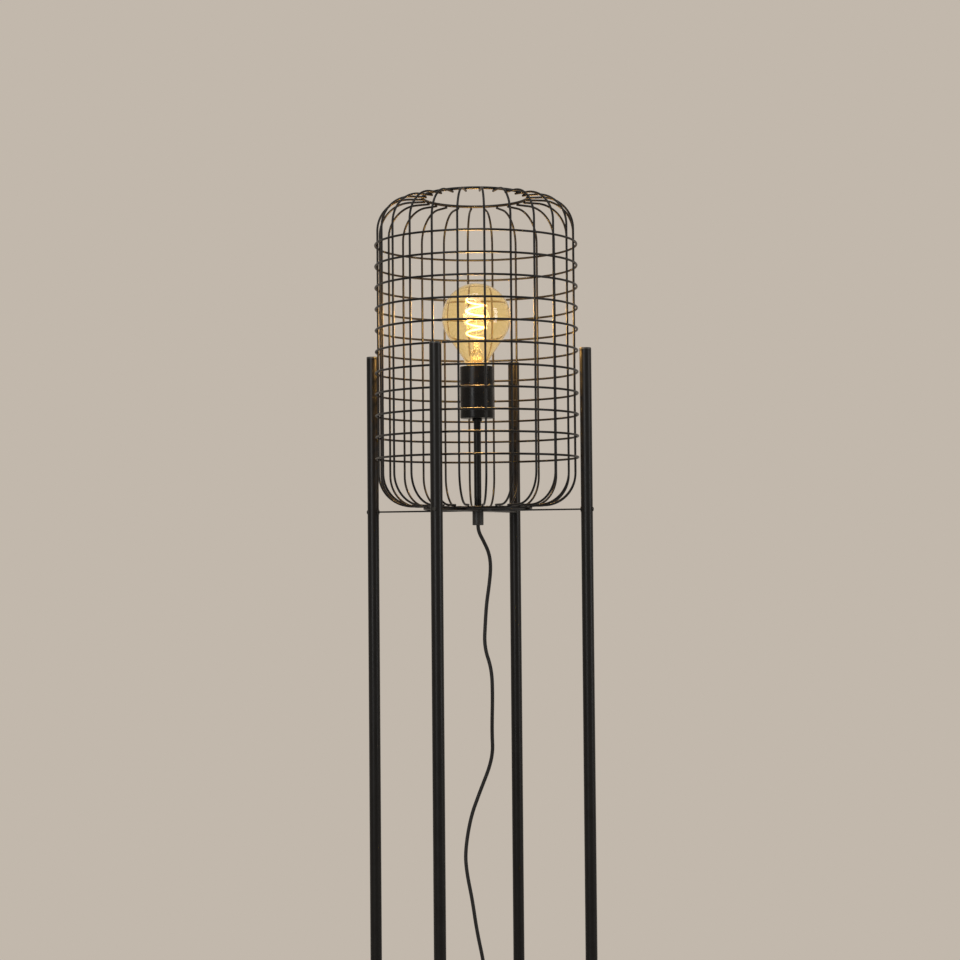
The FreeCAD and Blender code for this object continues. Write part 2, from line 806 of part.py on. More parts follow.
filament_end = on_filament(filament_quarters)
inside = filament_radius - filament_d / 2 - seat_gap
low_support = [
    (support_offset, 0.0, mount_top),
    (support_offset, 0.0, mount_top + 2.5),
    (support_offset + 3.0, 0.0, filament_start),
    (inside, 0.0, filament_start),
]
high_support = [
    (-support_offset, 0.0, mount_top),
    (-support_offset, 0.0, mount_top + 3.5),
    (0.0, 0.0, mount_top + 8.0),
    (0.0, 0.0, filament_end.z - 3.5),
    (math.copysign(3.0, filament_end.x), 0.0, filament_end.z),
    (math.copysign(inside, filament_end.x), 0.0, filament_end.z),
]
supports = []
for route in (low_support, high_support):
    supports.append(round_tube(route_edges(route)[0], support_d))
save("filament_wires", supports)

# ---- Flex: hanging stretch, floor stretches and the put-away coil ------

total = flex("cord_to_switch", ROUTE_TO_SWITCH)
total += flex("cord_to_coil", ROUTE_TO_COIL)
total += flex("cord_to_plug", ROUTE_TO_PLUG)

coil_quarters_in = 4 * coil_turns_in
coil_quarters_climb = 2.0
coil_quarters = int(round(coil_quarters_in + coil_quarters_climb + 4 * coil_turns_out))


def on_coil(quarter):
    """The coil's centre line, clockwise from its left side: in, up a layer, out."""
    climb_end = coil_quarters_in + coil_quarters_climb
    if quarter <= coil_quarters_in:
        radius = coil_radius - coil_pitch * quarter / 4
        level = coil_layer_1
    elif quarter < climb_end:
        share = (quarter - coil_quarters_in) / coil_quarters_climb
        radius = coil_inner_radius - coil_pitch / 2 * share * (1 - share)
        level = coil_layer_1 + coil_pitch * (1 - math.cos(math.pi * share)) / 2
    else:
        radius = coil_inner_radius + coil_pitch * (quarter - climb_end) / 4
        level = coil_layer_2
    angle = math.pi - math.pi / 2 * quarter
    return at(coil_x + radius * math.cos(angle), coil_y + radius * math.sin(angle), level)


def coil_edges():
    """The coil's turns, with a straight end of one diameter at each side."""
    step = 0.001
    places = [on_coil(i) for i in range(coil_quarters + 1)]
    headings = []
    for i in range(coil_quarters + 1):
        headings.append((on_coil(i + step) - on_coil(i - step)).normalize())
    headings[0] = at(0, 1, 0)
    headings[-1] = at(1, 0, 0)
    edges = [line_edge(places[0] - headings[0] * cord_d, places[0])]
    for i in range(coil_quarters):
        edges.extend(biarc(places[i], headings[i], places[i + 1], headings[i + 1]))
    edges.append(line_edge(places[-1], places[-1] + headings[-1] * cord_d))
    return edges


coil = coil_edges()
coil_length = sum(edge.Length for edge in coil)
total += coil_length
print("cord_coil length", round(coil_length, 1))
print("  least gap to itself", round(least_gap(coil, cord_d, 4 * cord_d), 2))
print("flex outside the lamp", round(total, 1))
save("cord_coil", [round_tube(coil, cord_d)])

tie_inner = coil_inner_radius - cord_d / 2 - tie_side_gap
tie_outer = coil_radius - coil_pitch / 2 + cord_d / 2 + tie_side_gap
tie_low = coil_layer_1 - cord_d / 2 - tie_gap
tie_high = coil_layer_2 + cord_d / 2 + tie_gap
tie_hole = Part.makeBox(tie_outer - tie_inner, tie_width + 2, tie_high - tie_low)
tie_hole.translate(at(coil_x + tie_inner, coil_y - tie_width / 2 - 1, tie_low))
tie_body = Part.makeBox(
    tie_outer - tie_inner + 2 * tie_thickness, tie_width, tie_high - tie_low + 2 * tie_thickness
)
tie_body.translate(at(coil_x + tie_inner - tie_thickness, coil_y - tie_width / 2, tie_low - tie_thickness))
tie = tie_body.cut(tie_hole)
save("coil_tie", [tie])

# ---- Foot switch -------------------------------------------------------

def stadium(length, width, z0, z1):
    """A bar with round ends along X, standing between two levels."""
    box = Part.makeBox(length - width, width, z1 - z0)
    box.translate(at(-(length - width) / 2, -width / 2, z0))
    shape = box
    for side in (-1, 1):
        shape = shape.fuse(disc(width, z0, z1, side * (length - width) / 2, 0))
    return shape.removeSplitter()


def entry_bar(diameter, x0, x1):
    """A round bar along X at the height of the switch's cord entries."""
    return Part.makeCylinder(diameter / 2, x1 - x0, at(x0, 0, switch_entry), at(1, 0, 0))


hollow_length = switch_length - 2 * switch_wall
hollow_width = switch_width - 2 * switch_wall
entry_hole = entry_bar(relief_stub_d + 2 * relief_gap, -switch_length, switch_length)

switch_base = stadium(switch_length, switch_width, 0, switch_split)
switch_base = switch_base.cut(stadium(hollow_length, hollow_width, switch_wall, switch_split + 1))
switch_base = switch_base.cut(entry_hole)
save("switch_base", [moved(switch_base, 0, switch_y, 0)])

cover = stadium(switch_length, switch_width, switch_split, switch_height)
cover = cover.makeFillet(switch_dome, [e for e in cover.Edges if e.BoundBox.ZMin > switch_height - 0.01])
cover_hollow = stadium(hollow_length, hollow_width, switch_split - 1, switch_height - switch_wall)
hollow_dome = switch_dome - switch_wall
cover_hollow = cover_hollow.makeFillet(
    hollow_dome, [e for e in cover_hollow.Edges if e.BoundBox.ZMin > switch_height - switch_wall - 0.01]
)
cover = cover.cut(cover_hollow).cut(entry_hole)
cover = cover.cut(disc(button_d + 2 * button_gap, switch_split, switch_height + 1))
save("switch_cover", [moved(cover, 0, switch_y, 0)])

reliefs = []
for side in (-1, 1):
    root = at(side * switch_length / 2, 0, switch_entry)
    outward = at(side, 0, 0)
    cone = Part.makeCone(relief_root_d / 2, relief_tip_d / 2, relief_length, root, outward)
    stub = Part.makeCylinder(relief_stub_d / 2, relief_stub + 1, root + outward, outward * -1)
    reliefs.append(moved(cone.fuse(stub).removeSplitter(), 0, switch_y, 0))
save("switch_reliefs", reliefs)

collar_top = switch_height - switch_wall - button_stop_gap
collar_bottom = collar_top - button_flange_height
button_top = switch_height + button_proud
button = disc(button_d, collar_bottom, button_top)
button = button.makeFillet(button_fillet, [e for e in button.Edges if e.BoundBox.ZMin > button_top - 0.01])
button = button.fuse(disc(button_d + 2 * button_flange, collar_bottom, collar_top)).removeSplitter()
save("switch_button", [moved(button, 0, switch_y, 0)])

spring_radius = (spring_d - spring_wire) / 2
spring_low = switch_wall + spring_gap + spring_wire / 2
spring_high = collar_bottom - spring_gap - spring_wire / 2
spring_quarters = int(round(4 * spring_turns))


def on_spring(quarter):
    angle = math.radians(90.0 * quarter)
    share = quarter / spring_quarters
    return at(
        spring_radius * math.cos(angle),
        switch_y + spring_radius * math.sin(angle),
        spring_low + (spring_high - spring_low) * share,
    )


spring_edges = wound(on_spring, spring_quarters)
print("button_spring least gap", round(least_gap(spring_edges, spring_wire, 4 * spring_wire), 2))
spring = round_tube(spring_edges, spring_wire)
spring = spring.cut(Part.makeBox(40, 40, 10, at(-20, switch_y - 20, switch_wall + spring_gap - 10)))
spring = spring.cut(Part.makeBox(40, 40, 10, at(-20, switch_y - 20, collar_bottom - spring_gap)))
save("button_spring", [spring])

# ---- Plug --------------------------------------------------------------

plug_outline = [
    at(0, -plug_back_width / 2, 0),
    at(plug_slope_start, -plug_back_width / 2 - 1.5, 0),
    at(plug_slope_end, -plug_front_width / 2, 0),
    at(plug_length, -plug_front_width / 2, 0),
    at(plug_length, plug_front_width / 2, 0),
    at(plug_slope_end, plug_front_width / 2, 0),
    at(plug_slope_start, plug_back_width / 2 + 1.5, 0),
    at(0, plug_back_width / 2, 0),
    at(0, -plug_back_width / 2, 0),
]
plug = Part.Face(Part.makePolygon(plug_outline)).extrude(at(0, 0, plug_height))
plug = plug.makeFillet(plug_fillet, plug.Edges)
plug_relief = Part.makeCone(
    relief_tip_d / 2, plug_relief_root_d / 2, relief_length + 1, at(-relief_length, 0, plug_axis), at(1, 0, 0)
)
plug = plug.fuse(plug_relief).removeSplitter()
pins = []
for side in (-1, 1):
    start = at(plug_length - pin_depth, side * pin_spacing / 2, plug_axis)
    hole = Part.makeCylinder(pin_d / 2 + pin_gap, pin_depth + 1, start, at(1, 0, 0))
    plug = plug.cut(hole)
    pin = Part.makeCylinder(pin_d / 2, pin_depth + pin_length, start, at(1, 0, 0))
    tips = [e for e in pin.Edges if e.BoundBox.XMin > plug_length + pin_length - 0.01]
    pins.append(moved(pin.makeFillet(pin_fillet, tips), plug_x, plug_y, 0))
save("plug_body", [moved(plug, plug_x, plug_y, 0)])
save("plug_pins", pins)
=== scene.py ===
import math

import bmesh
import bpy
from mathutils import Matrix, Vector


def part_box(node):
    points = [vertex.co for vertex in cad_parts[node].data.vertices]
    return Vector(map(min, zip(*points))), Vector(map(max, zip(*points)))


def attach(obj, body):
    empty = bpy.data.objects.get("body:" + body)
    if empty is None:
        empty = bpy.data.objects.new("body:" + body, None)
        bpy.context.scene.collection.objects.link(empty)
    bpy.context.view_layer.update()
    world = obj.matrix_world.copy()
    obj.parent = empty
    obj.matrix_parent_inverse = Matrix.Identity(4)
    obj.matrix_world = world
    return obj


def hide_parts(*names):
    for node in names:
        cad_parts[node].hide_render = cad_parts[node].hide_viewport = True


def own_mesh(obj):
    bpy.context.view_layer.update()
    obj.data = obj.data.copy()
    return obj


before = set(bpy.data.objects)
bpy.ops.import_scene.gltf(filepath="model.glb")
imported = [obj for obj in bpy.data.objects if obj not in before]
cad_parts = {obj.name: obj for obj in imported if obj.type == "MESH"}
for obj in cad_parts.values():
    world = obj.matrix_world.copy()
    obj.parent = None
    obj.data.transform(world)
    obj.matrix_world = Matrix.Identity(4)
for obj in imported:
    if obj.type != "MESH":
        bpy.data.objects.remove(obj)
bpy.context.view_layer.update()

# ---- Viewpoint ---------------------------------------------------------
# The lamp is seen from about a metre above the floor, a little to the left
# of its front, through a moderately long lens that looks slightly upwards.

TOWARDS_LAMP = Vector((0.4226, 0.9063, 0.0))
RIGHTWARDS = Vector((0.9063, -0.4226, 0.0))
VIEW_DISTANCE = 2.634
VIEW_ASIDE = 0.0032
VIEW_HEIGHT = 1.022
VIEW_PITCH = 0.033
VIEW_ROLL = -0.0085
LENS_MM = 71.85

viewpoint = bpy.data.objects.new("viewpoint", bpy.data.cameras.new("viewpoint"))
viewpoint.data.sensor_width = 36.0
viewpoint.data.lens = LENS_MM
looking = TOWARDS_LAMP * math.cos(VIEW_PITCH) + Vector((0, 0, math.sin(VIEW_PITCH)))
standing = RIGHTWARDS * VIEW_ASIDE - TOWARDS_LAMP * VIEW_DISTANCE + Vector((0, 0, VIEW_HEIGHT))
viewpoint.matrix_world = (
    Matrix.Translation(standing)
    @ looking.to_track_quat("-Z", "Y").to_matrix().to_4x4()
    @ Matrix.Rotation(VIEW_ROLL, 4, "Z")
)
bpy.context.scene.collection.objects.link(viewpoint)
bpy.context.scene.camera = viewpoint
bpy.context.scene.view_settings.view_transform = "Standard"

# ---- Floor board and sky -----------------------------------------------
# A round, pale painted board lies under the lamp. It fades out towards its
# edge, so that it has no rim, and a pale warm sky stands behind it.

BOARD_RADIUS = 1.85
BOARD_SOLID_RADIUS = 1.1
BOARD_PAINT = "#d9d3cb"
SKY_SEEN = "#c2b8ac"
SKY_FILL = "#f4f1ee"


def linear(hex_colour):
    """A hex sRGB colour as linear red, green, blue and alpha."""
    channels = [int(hex_colour[i : i + 2], 16) / 255 for i in (1, 3, 5)]
    return tuple(c / 12.92 if c <= 0.04045 else ((c + 0.055) / 1.055) ** 2.4 for c in channels) + (1.0,)


def add_node(tree, kind, settings=None, sockets=None):
    """Adds a shader node. A socket is given a value, or the output that feeds it."""
    added = tree.nodes.new(kind)
    for name, value in (settings or {}).items():
        setattr(added, name, value)
    for name, value in (sockets or {}).items():
        if isinstance(value, bpy.types.NodeSocket):
            tree.links.new(value, added.inputs[name])
        else:
            added.inputs[name].default_value = value
    return added


def new_finish(name):
    """An empty material and its node tree."""
    finish = bpy.data.materials.new(name)
    finish.use_nodes = True
    finish.node_tree.nodes.clear()
    return finish, finish.node_tree


board_finish, tree = new_finish("matt_emulsion_paint")
place = add_node(tree, "ShaderNodeTexCoord").outputs["Object"]
reach = add_node(tree, "ShaderNodeVectorMath", {"operation": "LENGTH"}, {0: place}).outputs["Value"]
fade = add_node(
    tree,
    "ShaderNodeMapRange",
    {"interpolation_type": "SMOOTHSTEP"},
    {"Value": reach, "From Min": BOARD_SOLID_RADIUS, "From Max": BOARD_RADIUS},
).outputs["Result"]
# Roller stipple, about 4 mm from crest to crest.
stipple = add_node(tree, "ShaderNodeTexNoise", None, {"Vector": place, "Scale": 250.0, "Detail": 3.0})
relief = add_node(tree, "ShaderNodeBump", None, {"Height": stipple.outputs["Fac"], "Distance": 0.0002})
paint = add_node(
    tree,
    "ShaderNodeBsdfPrincipled",
    None,
    {"Base Color": linear(BOARD_PAINT), "Roughness": 0.75, "Normal": relief.outputs["Normal"]},
)
gone = add_node(tree, "ShaderNodeBsdfTransparent")
blended = add_node(tree, "ShaderNodeMixShader", None, {0: fade, 1: paint.outputs[0], 2: gone.outputs[0]})
add_node(tree, "ShaderNodeOutputMaterial", None, {"Surface": blended.outputs[0]})

shape = bmesh.new()
bmesh.ops.create_circle(shape, cap_ends=True, segments=128, radius=BOARD_RADIUS)
board_mesh = bpy.data.meshes.new("floor_board")
shape.to_mesh(board_mesh)
shape.free()
board_mesh.materials.append(board_finish)
board = bpy.data.objects.new("floor_board", board_mesh)
bpy.context.scene.collection.objects.link(board)

sky = bpy.data.worlds.new("sky")
sky.use_nodes = True
sky.node_tree.nodes.clear()
ray = add_node(sky.node_tree, "ShaderNodeLightPath").outputs
fill = add_node(sky.node_tree, "ShaderNodeBackground", None, {"Color": linear(SKY_FILL), "Strength": 0.5})
seen = add_node(sky.node_tree, "ShaderNodeBackground", None, {"Color": linear(SKY_SEEN), "Strength": 1.0})
shown = ray["Is Camera Ray"]
for kind in ("Is Glossy Ray", "Is Transmission Ray"):
    shown = add_node(
        sky.node_tree, "ShaderNodeMath", {"operation": "MAXIMUM"}, {0: shown, 1: ray[kind]}
    ).outputs[0]
mixed = add_node(
    sky.node_tree, "ShaderNodeMixShader", None, {0: shown, 1: fill.outputs[0], 2: seen.outputs[0]}
)
add_node(sky.node_tree, "ShaderNodeOutputWorld", None, {"Surface": mixed.outputs[0]})
bpy.context.scene.world = sky

# ---- Lamps -------------------------------------------------------------
# Large soft boxes stand on both sides, above and behind, so that black tubes
# and wires show long quiet highlights. The one behind stays out of reflections,
# where it would draw a white rim round the globe. A small warm light stands for
# the glow of the lit filament, which the glass lets out on to the cage.

SOFT_BOXES = [
    # name, place, width, height, watts
    ("left_box", (-2.1, -1.5, 1.7), 0.8, 2.0, 34.0),
    ("right_box", (1.9, -2.0, 1.5), 0.6, 2.0, 26.0),
    ("top_box", (-0.6, -0.9, 3.2), 1.6, 1.6, 32.0),
    ("back_box", (1.4, 2.4, 1.9), 0.8, 1.6, 26.0),
]
BOX_AIM_HEIGHT = 0.95
GLOW_HEIGHT = 1.334
GLOW_RADIUS = 0.02
GLOW_WATTS = 9.0
GLOW_COLOUR = "#ffcf94"

for name, stand, width, height, watts in SOFT_BOXES:
    box = bpy.data.objects.new(name, bpy.data.lights.new(name, "AREA"))
    box.data.shape = "RECTANGLE"
    box.data.size = width
    box.data.size_y = height
    box.data.energy = watts
    box.location = stand
    aim = Vector((0, 0, BOX_AIM_HEIGHT)) - Vector(stand)
    box.rotation_euler = aim.to_track_quat("-Z", "Y").to_euler()
    box.visible_camera = False
    box.visible_transmission = False
    box.visible_glossy = name != "back_box"
    bpy.context.scene.collection.objects.link(box)

glow = bpy.data.objects.new("filament_glow", bpy.data.lights.new("filament_glow", "POINT"))
glow.data.energy = GLOW_WATTS
glow.data.color = linear(GLOW_COLOUR)[:3]
glow.data.shadow_soft_size = GLOW_RADIUS
glow.location = (0, 0, GLOW_HEIGHT)
glow.visible_camera = False
glow.visible_transmission = False
bpy.context.scene.collection.objects.link(glow)

# ---- Flex --------------------------------------------------------------
# Round two-core flex, 5 mm thick, with a smooth black PVC jacket. It hangs
# from the grip in the easy waves that it kept from its packing, crosses the
# floor to the foot switch, and the rest is put away in a tied coil.

FLEX_THICKNESS = 0.005
PVC_BLACK = "#0f0e0e"
COIL_CENTRE = (-0.045, 0.045)
COIL_START_RADIUS = 0.037
COIL_PITCH = 0.0056
COIL_FIRST_LAYER = 0.0034
COIL_POINTS_A_TURN = 16
TURNS_IN = 2.5
TURNS_UP = 0.5
TURNS_OUT = 2.25

HANGING = [
    (0.0, 0.0, 1.0468),
    (0.0, 0.0, 1.039),
    (0.0072, -0.0025, 1.0245),
    (0.0142, -0.0043, 1.009),
    (0.0168, -0.0045, 0.991),
    (0.0154, -0.0028, 0.968),
    (0.0118, -0.0004, 0.94),
    (0.0098, -0.0002, 0.915),
    (0.0063, -0.003, 0.88),
    (0.0137, -0.0108, 0.85),
    (0.0138, -0.013, 0.815),
    (0.0137, -0.0097, 0.765),
    (0.0172, -0.0058, 0.728),
    (0.0003, 0.0054, 0.678),
    (-0.0097, 0.0123, 0.645),
    (-0.0169, 0.0145, 0.6),
    (-0.0164, 0.011, 0.572),
    (-0.0109, 0.0051, 0.535),
    (-0.0072, 0.0, 0.495),
    (0.0006, -0.0058, 0.45),
    (0.006, -0.0061, 0.405),
    (0.0036, -0.0017, 0.35),
    (-0.0037, 0.0062, 0.295),
    (-0.006, 0.0083, 0.24),
    (-0.001, 0.0027, 0.185),
    (0.0018, -0.0008, 0.135),
    (0.0012, 0.0004, 0.09),
    (0.0015, -0.0006, 0.055),
    (0.012, -0.001, 0.019),
    (0.044, -0.0018, 0.0025),
    (0.0815, -0.0035, 0.0025),
    (0.1035, -0.0255, 0.0025),
    (0.103, -0.056, 0.0025),
    (0.0855, -0.078, 0.006),
    (0.06, -0.078, 0.006),
]
BEFORE_COIL = [
    (-0.06, -0.078, 0.006),
    (-0.084, -0.078, 0.006),
    (-0.1035, -0.0565, 0.0025),
    (-0.103, -0.025, 0.0026),
    (-0.082, 0.011, 0.0034),
    (-0.082, 0.04, 0.0034),
]
AFTER_COIL = [
    (-0.04, 0.0806, 0.009),
    (-0.028, 0.0806, 0.009),
    (-0.014, 0.0814, 0.006),
    (0.0, 0.0796, 0.0055),
    (0.0105, 0.08, 0.00685),
    (0.02, 0.08, 0.00685),
]


def coil_point(turn):
    """A control point of the coil: inwards, up a layer over half a turn, then outwards."""
    if turn <= TURNS_IN:
        radius = COIL_START_RADIUS - COIL_PITCH * turn
        level = COIL_FIRST_LAYER
    elif turn < TURNS_IN + TURNS_UP:
        share = (turn - TURNS_IN) / TURNS_UP
        radius = COIL_START_RADIUS - COIL_PITCH * (TURNS_IN + 0.5 * share * (1 - share))
        level = COIL_FIRST_LAYER + COIL_PITCH * (1 - math.cos(math.pi * share)) / 2
    else:
        radius = COIL_START_RADIUS - COIL_PITCH * (2 * TURNS_IN + TURNS_UP - turn)
        level = COIL_FIRST_LAYER + COIL_PITCH
    # The line runs inside its control points, so they stand a little further out.
    radius /= math.cos(math.pi / COIL_POINTS_A_TURN)
    angle = math.pi - 2 * math.pi * turn
    return (
        COIL_CENTRE[0] + radius * math.cos(angle),
        COIL_CENTRE[1] + radius * math.sin(angle),
        level,
    )


def pvc_jacket(name, hex_colour):
    """Extruded soft PVC: smooth, a low satin sheen, faint handling marks and a fine skin grain."""
    finish, tree = new_finish(name)
    place = add_node(tree, "ShaderNodeTexCoord").outputs["Object"]
    # Handling marks, about 15 mm apart, and a skin grain of 0.4 mm.
    marks = add_node(tree, "ShaderNodeTexNoise", None, {"Vector": place, "Scale": 65.0, "Detail": 4.0})
    grain = add_node(tree, "ShaderNodeTexNoise", None, {"Vector": place, "Scale": 2500.0, "Detail": 2.0})
    sheen = add_node(
        tree,
        "ShaderNodeMapRange",
        None,
        {"Value": marks.outputs["Fac"], "From Min": 0.3, "From Max": 0.7, "To Min": 0.38, "To Max": 0.52},
    )
    relief = add_node(
        tree, "ShaderNodeBump", None, {"Height": grain.outputs["Fac"], "Distance": 0.00004, "Strength": 0.6}
    )
    skin = add_node(
        tree,
        "ShaderNodeBsdfPrincipled",
        None,
        {
            "Base Color": linear(hex_colour),
            "Roughness": sheen.outputs["Result"],
            "IOR": 1.53,
            "Specular IOR Level": 0.25,
            "Normal": relief.outputs["Normal"],
        },
    )
    add_node(tree, "ShaderNodeOutputMaterial", None, {"Surface": skin.outputs[0]})
    return finish


flex_finish = pvc_jacket("extruded_pvc_jacket", PVC_BLACK)


def lay_flex(name, points, nodes):
    """A length of flex that runs smoothly along its control points."""
    line = bpy.data.curves.new(name, "CURVE")
    line.dimensions = "3D"
    line.bevel_depth = FLEX_THICKNESS / 2
    line.bevel_resolution = 5
    line.resolution_u = 8
    line.use_fill_caps = True
    spline = line.splines.new("NURBS")
    spline.points.add(len(points) - 1)
    for point, place in zip(spline.points, points):
        point.co = (*place, 1.0)
    spline.order_u = 3
    spline.use_endpoint_u = True
    line.materials.append(flex_finish)
    flex = bpy.data.objects.new(name, line)
    bpy.context.scene.collection.objects.link(flex)
    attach(flex, "stand")
    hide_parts(*nodes)
    return flex


coil_points = [
    coil_point((k + 0.5) / COIL_POINTS_A_TURN)
    for k in range(int(COIL_POINTS_A_TURN * (TURNS_IN + TURNS_UP + TURNS_OUT)))
]
hanging_flex = lay_flex("hanging_flex", HANGING, ["cord_to_switch"])
coiled_flex = lay_flex(
    "coiled_flex", BEFORE_COIL + coil_points + AFTER_COIL, ["cord_to_coil", "cord_coil", "cord_to_plug"]
)
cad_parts["stem_lead"].data.materials.clear()
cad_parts["stem_lead"].data.materials.append(flex_finish)

# ---- Cross plate -------------------------------------------------------
# A flat cross, laser cut from 2 mm mild steel and powder coated satin black.
# Its hub carries the pipe, its arms lie under the cage and reach the legs.

COAT_BLACK = "#090808"


def powder_coat(name, hex_colour, roughness):
    """Baked polyester powder: near black, satin, with a fine ripple like orange peel."""
    finish, tree = new_finish(name)
    place = add_node(tree, "ShaderNodeTexCoord").outputs["Object"]
    # The ripple is about 1.2 mm long on the real coat; the patches of sheen are 20 mm.
    ripple = add_node(tree, "ShaderNodeTexNoise", None, {"Vector": place, "Scale": 830.0, "Detail": 2.0})
    patches = add_node(tree, "ShaderNodeTexNoise", None, {"Vector": place, "Scale": 50.0, "Detail": 3.0})
    satin = add_node(
        tree,
        "ShaderNodeMapRange",
        None,
        {
            "Value": patches.outputs["Fac"],
            "From Min": 0.3,
            "From Max": 0.7,
            "To Min": roughness - 0.05,
            "To Max": roughness + 0.05,
        },
    )
    pigment = add_node(
        tree,
        "ShaderNodeMix",
        {"data_type": "RGBA"},
        {0: patches.outputs["Fac"], 6: linear(hex_colour), 7: linear("#0f0e0d")},
    )
    relief = add_node(
        tree, "ShaderNodeBump", None, {"Height": ripple.outputs["Fac"], "Distance": 0.00003, "Strength": 0.5}
    )
    coat = add_node(
        tree,
        "ShaderNodeBsdfPrincipled",
        None,
        {
            "Base Color": pigment.outputs[2],
            "Roughness": satin.outputs["Result"],
            "IOR": 1.5,
            "Specular IOR Level": 0.17,
            "Normal": relief.outputs["Normal"],
        },
    )
    add_node(tree, "ShaderNodeOutputMaterial", None, {"Surface": coat.outputs[0]})
    return finish


frame_coat = powder_coat("satin_black_powder_coat", COAT_BLACK, 0.38)


def copy_of(node):
    """The closed mesh of a CAD node, with flat faces made whole again."""
    shape = bmesh.new()
    shape.from_mesh(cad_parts[node].data)
    bmesh.ops.remove_doubles(shape, verts=shape.verts, dist=1e-6)
    bmesh.ops.dissolve_limit(
        shape,
        angle_limit=math.radians(0.5),
        use_dissolve_boundaries=False,
        verts=shape.verts,
        edges=shape.edges,
    )
    return shape


def sharp_edges(shape, degrees):
    """The edges where two faces meet at more than an angle."""
    return [e for e in shape.edges if len(e.link_faces) == 2 and e.calc_face_angle() > math.radians(degrees)]


def ease(shape, edges, width, steps=2):
    """Rounds edges over, as wear, paint or a mould does."""
    bmesh.ops.bevel(
        shape,
        geom=edges,
        offset=width,
        segments=steps,
        profile=0.5,
        affect="EDGES",
        material=-1,
        clamp_overlap=True,
    )


def set_down(shape, name, finish, nodes, body="stand", crease=32.0):
    """Makes a finished piece of a shape: smooth but for its creases, on its body."""
    bmesh.ops.remove_doubles(shape, verts=shape.verts, dist=1e-6)
    bmesh.ops.recalc_face_normals(shape, faces=shape.faces)
    mesh = bpy.data.meshes.new(name)
    shape.to_mesh(mesh)
    shape.free()
    mesh.shade_smooth()
    mesh.set_sharp_from_angle(angle=math.radians(crease))
    mesh.materials.append(finish)
    piece = bpy.data.objects.new(name, mesh)
    bpy.context.scene.collection.objects.link(piece)
    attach(piece, body)
    if nodes:
        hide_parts(*nodes)
    return piece


shape = copy_of("cross_plate")
ease(shape, sharp_edges(shape, 40), 0.0003)
set_down(shape, "steel_cross", frame_coat, ["cross_plate"])

# ---- Pipe and nuts -----------------------------------------------------
# A length of threaded lamp pipe, 10 mm across, clamped through the cross.
# A thin nut holds it on the plate, and another holds the cup at its top.

PIPE_RADIUS = 0.005
PIPE_BORE_RADIUS = 0.0035
THREAD_PITCH = 0.001
THREAD_DEPTH = 0.0003
THREAD_LENGTH = 0.012


def lathe(shape, outline, steps=64, rounded=None, softness=3):
    """Turns an outline of (radius, height) about the upright axis. rounded gives corners a radius."""
    corners = [shape.verts.new((r, 0, z)) for r, z in outline]
    for first, second in zip(corners, corners[1:]):
        shape.edges.new((first, second))
    if outline[0][0] > 0 and outline[-1][0] > 0:
        shape.edges.new((corners[-1], corners[0]))
    for corner, radius in (rounded or {}).items():
        bmesh.ops.bevel(
            shape,
            geom=[corners[corner]],
            offset=radius,
            segments=softness,
            profile=0.5,
            affect="VERTICES",
            material=-1,
            clamp_overlap=True,
        )
    drawn = [v for v in shape.verts if not v.link_faces]
    lines = [e for e in shape.edges if not e.link_faces]
    bmesh.ops.spin(
        shape, geom=drawn + lines, cent=(0, 0, 0), axis=(0, 0, 1), angle=math.tau, steps=steps, use_merge=True
    )
    bmesh.ops.remove_doubles(shape, verts=shape.verts, dist=1e-7)


pipe_low, pipe_high = (corner.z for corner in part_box("stem_pipe"))
plate_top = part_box("cross_plate")[1].z
cup_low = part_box("holder_cup")[0].z
nut_height = 0.004
shape = bmesh.new()
lathe(
    shape,
    [
        (PIPE_BORE_RADIUS, pipe_low),
        (PIPE_RADIUS - THREAD_DEPTH, pipe_low),
        (PIPE_RADIUS - THREAD_DEPTH, plate_top + nut_height + THREAD_LENGTH),
        (PIPE_RADIUS, plate_top + nut_height + THREAD_LENGTH + THREAD_DEPTH),
        (PIPE_RADIUS, cup_low - nut_height - THREAD_LENGTH - THREAD_DEPTH),
        (PIPE_RADIUS - THREAD_DEPTH, cup_low - nut_height - THREAD_LENGTH),
        (PIPE_RADIUS - THREAD_DEPTH, pipe_high),
        (PIPE_BORE_RADIUS, pipe_high),
    ],
    48,
)


def helix(shape, section_radius, radius, pitch, start, turns, sides=6, steps=24, flatten=1.0):
    """A closed round bar wound about the upright axis, such as a thread or a coil."""
    rim = bmesh.ops.create_circle(
        shape,
        cap_ends=True,
        segments=sides,
        radius=section_radius,
        matrix=Matrix.Translation((radius, 0, start))
        @ Matrix.Rotation(math.pi / 2, 4, "X")
        @ Matrix.Diagonal((1, flatten, 1, 1)),
    )["verts"]
    section = list({f for v in rim for f in v.link_faces})
    edges = list({e for v in rim for e in v.link_edges})
    count = int(round(turns * steps))
    wound = bmesh.ops.spin(
        shape,
        geom=rim + edges + section,
        cent=(0, 0, 0),
        axis=(0, 0, 1),
        dvec=(0, 0, pitch / steps),
        angle=math.tau * turns,
        steps=count,
    )
    return wound["geom_last"]


for foot in (pipe_low + THREAD_PITCH, cup_low - nut_height - THREAD_LENGTH):
    length = plate_top + nut_height + THREAD_LENGTH - foot if foot < plate_top else THREAD_LENGTH
    helix(
        shape,
        THREAD_DEPTH * 1.15,
        PIPE_RADIUS - THREAD_DEPTH,
        THREAD_PITCH,
        foot,
        math.floor(length / THREAD_PITCH) - 0.5,
        sides=5,
        steps=24,
    )
set_down(shape, "threaded_pipe", frame_coat, ["stem_pipe"])

shape = copy_of("stem_nuts")
corners = [e for e in sharp_edges(shape, 40) if max(math.hypot(*v.co.xy) for v in e.verts) > 0.0062]
ease(shape, corners, 0.0005)
set_down(shape, "pipe_nuts", frame_coat, ["stem_nuts"])

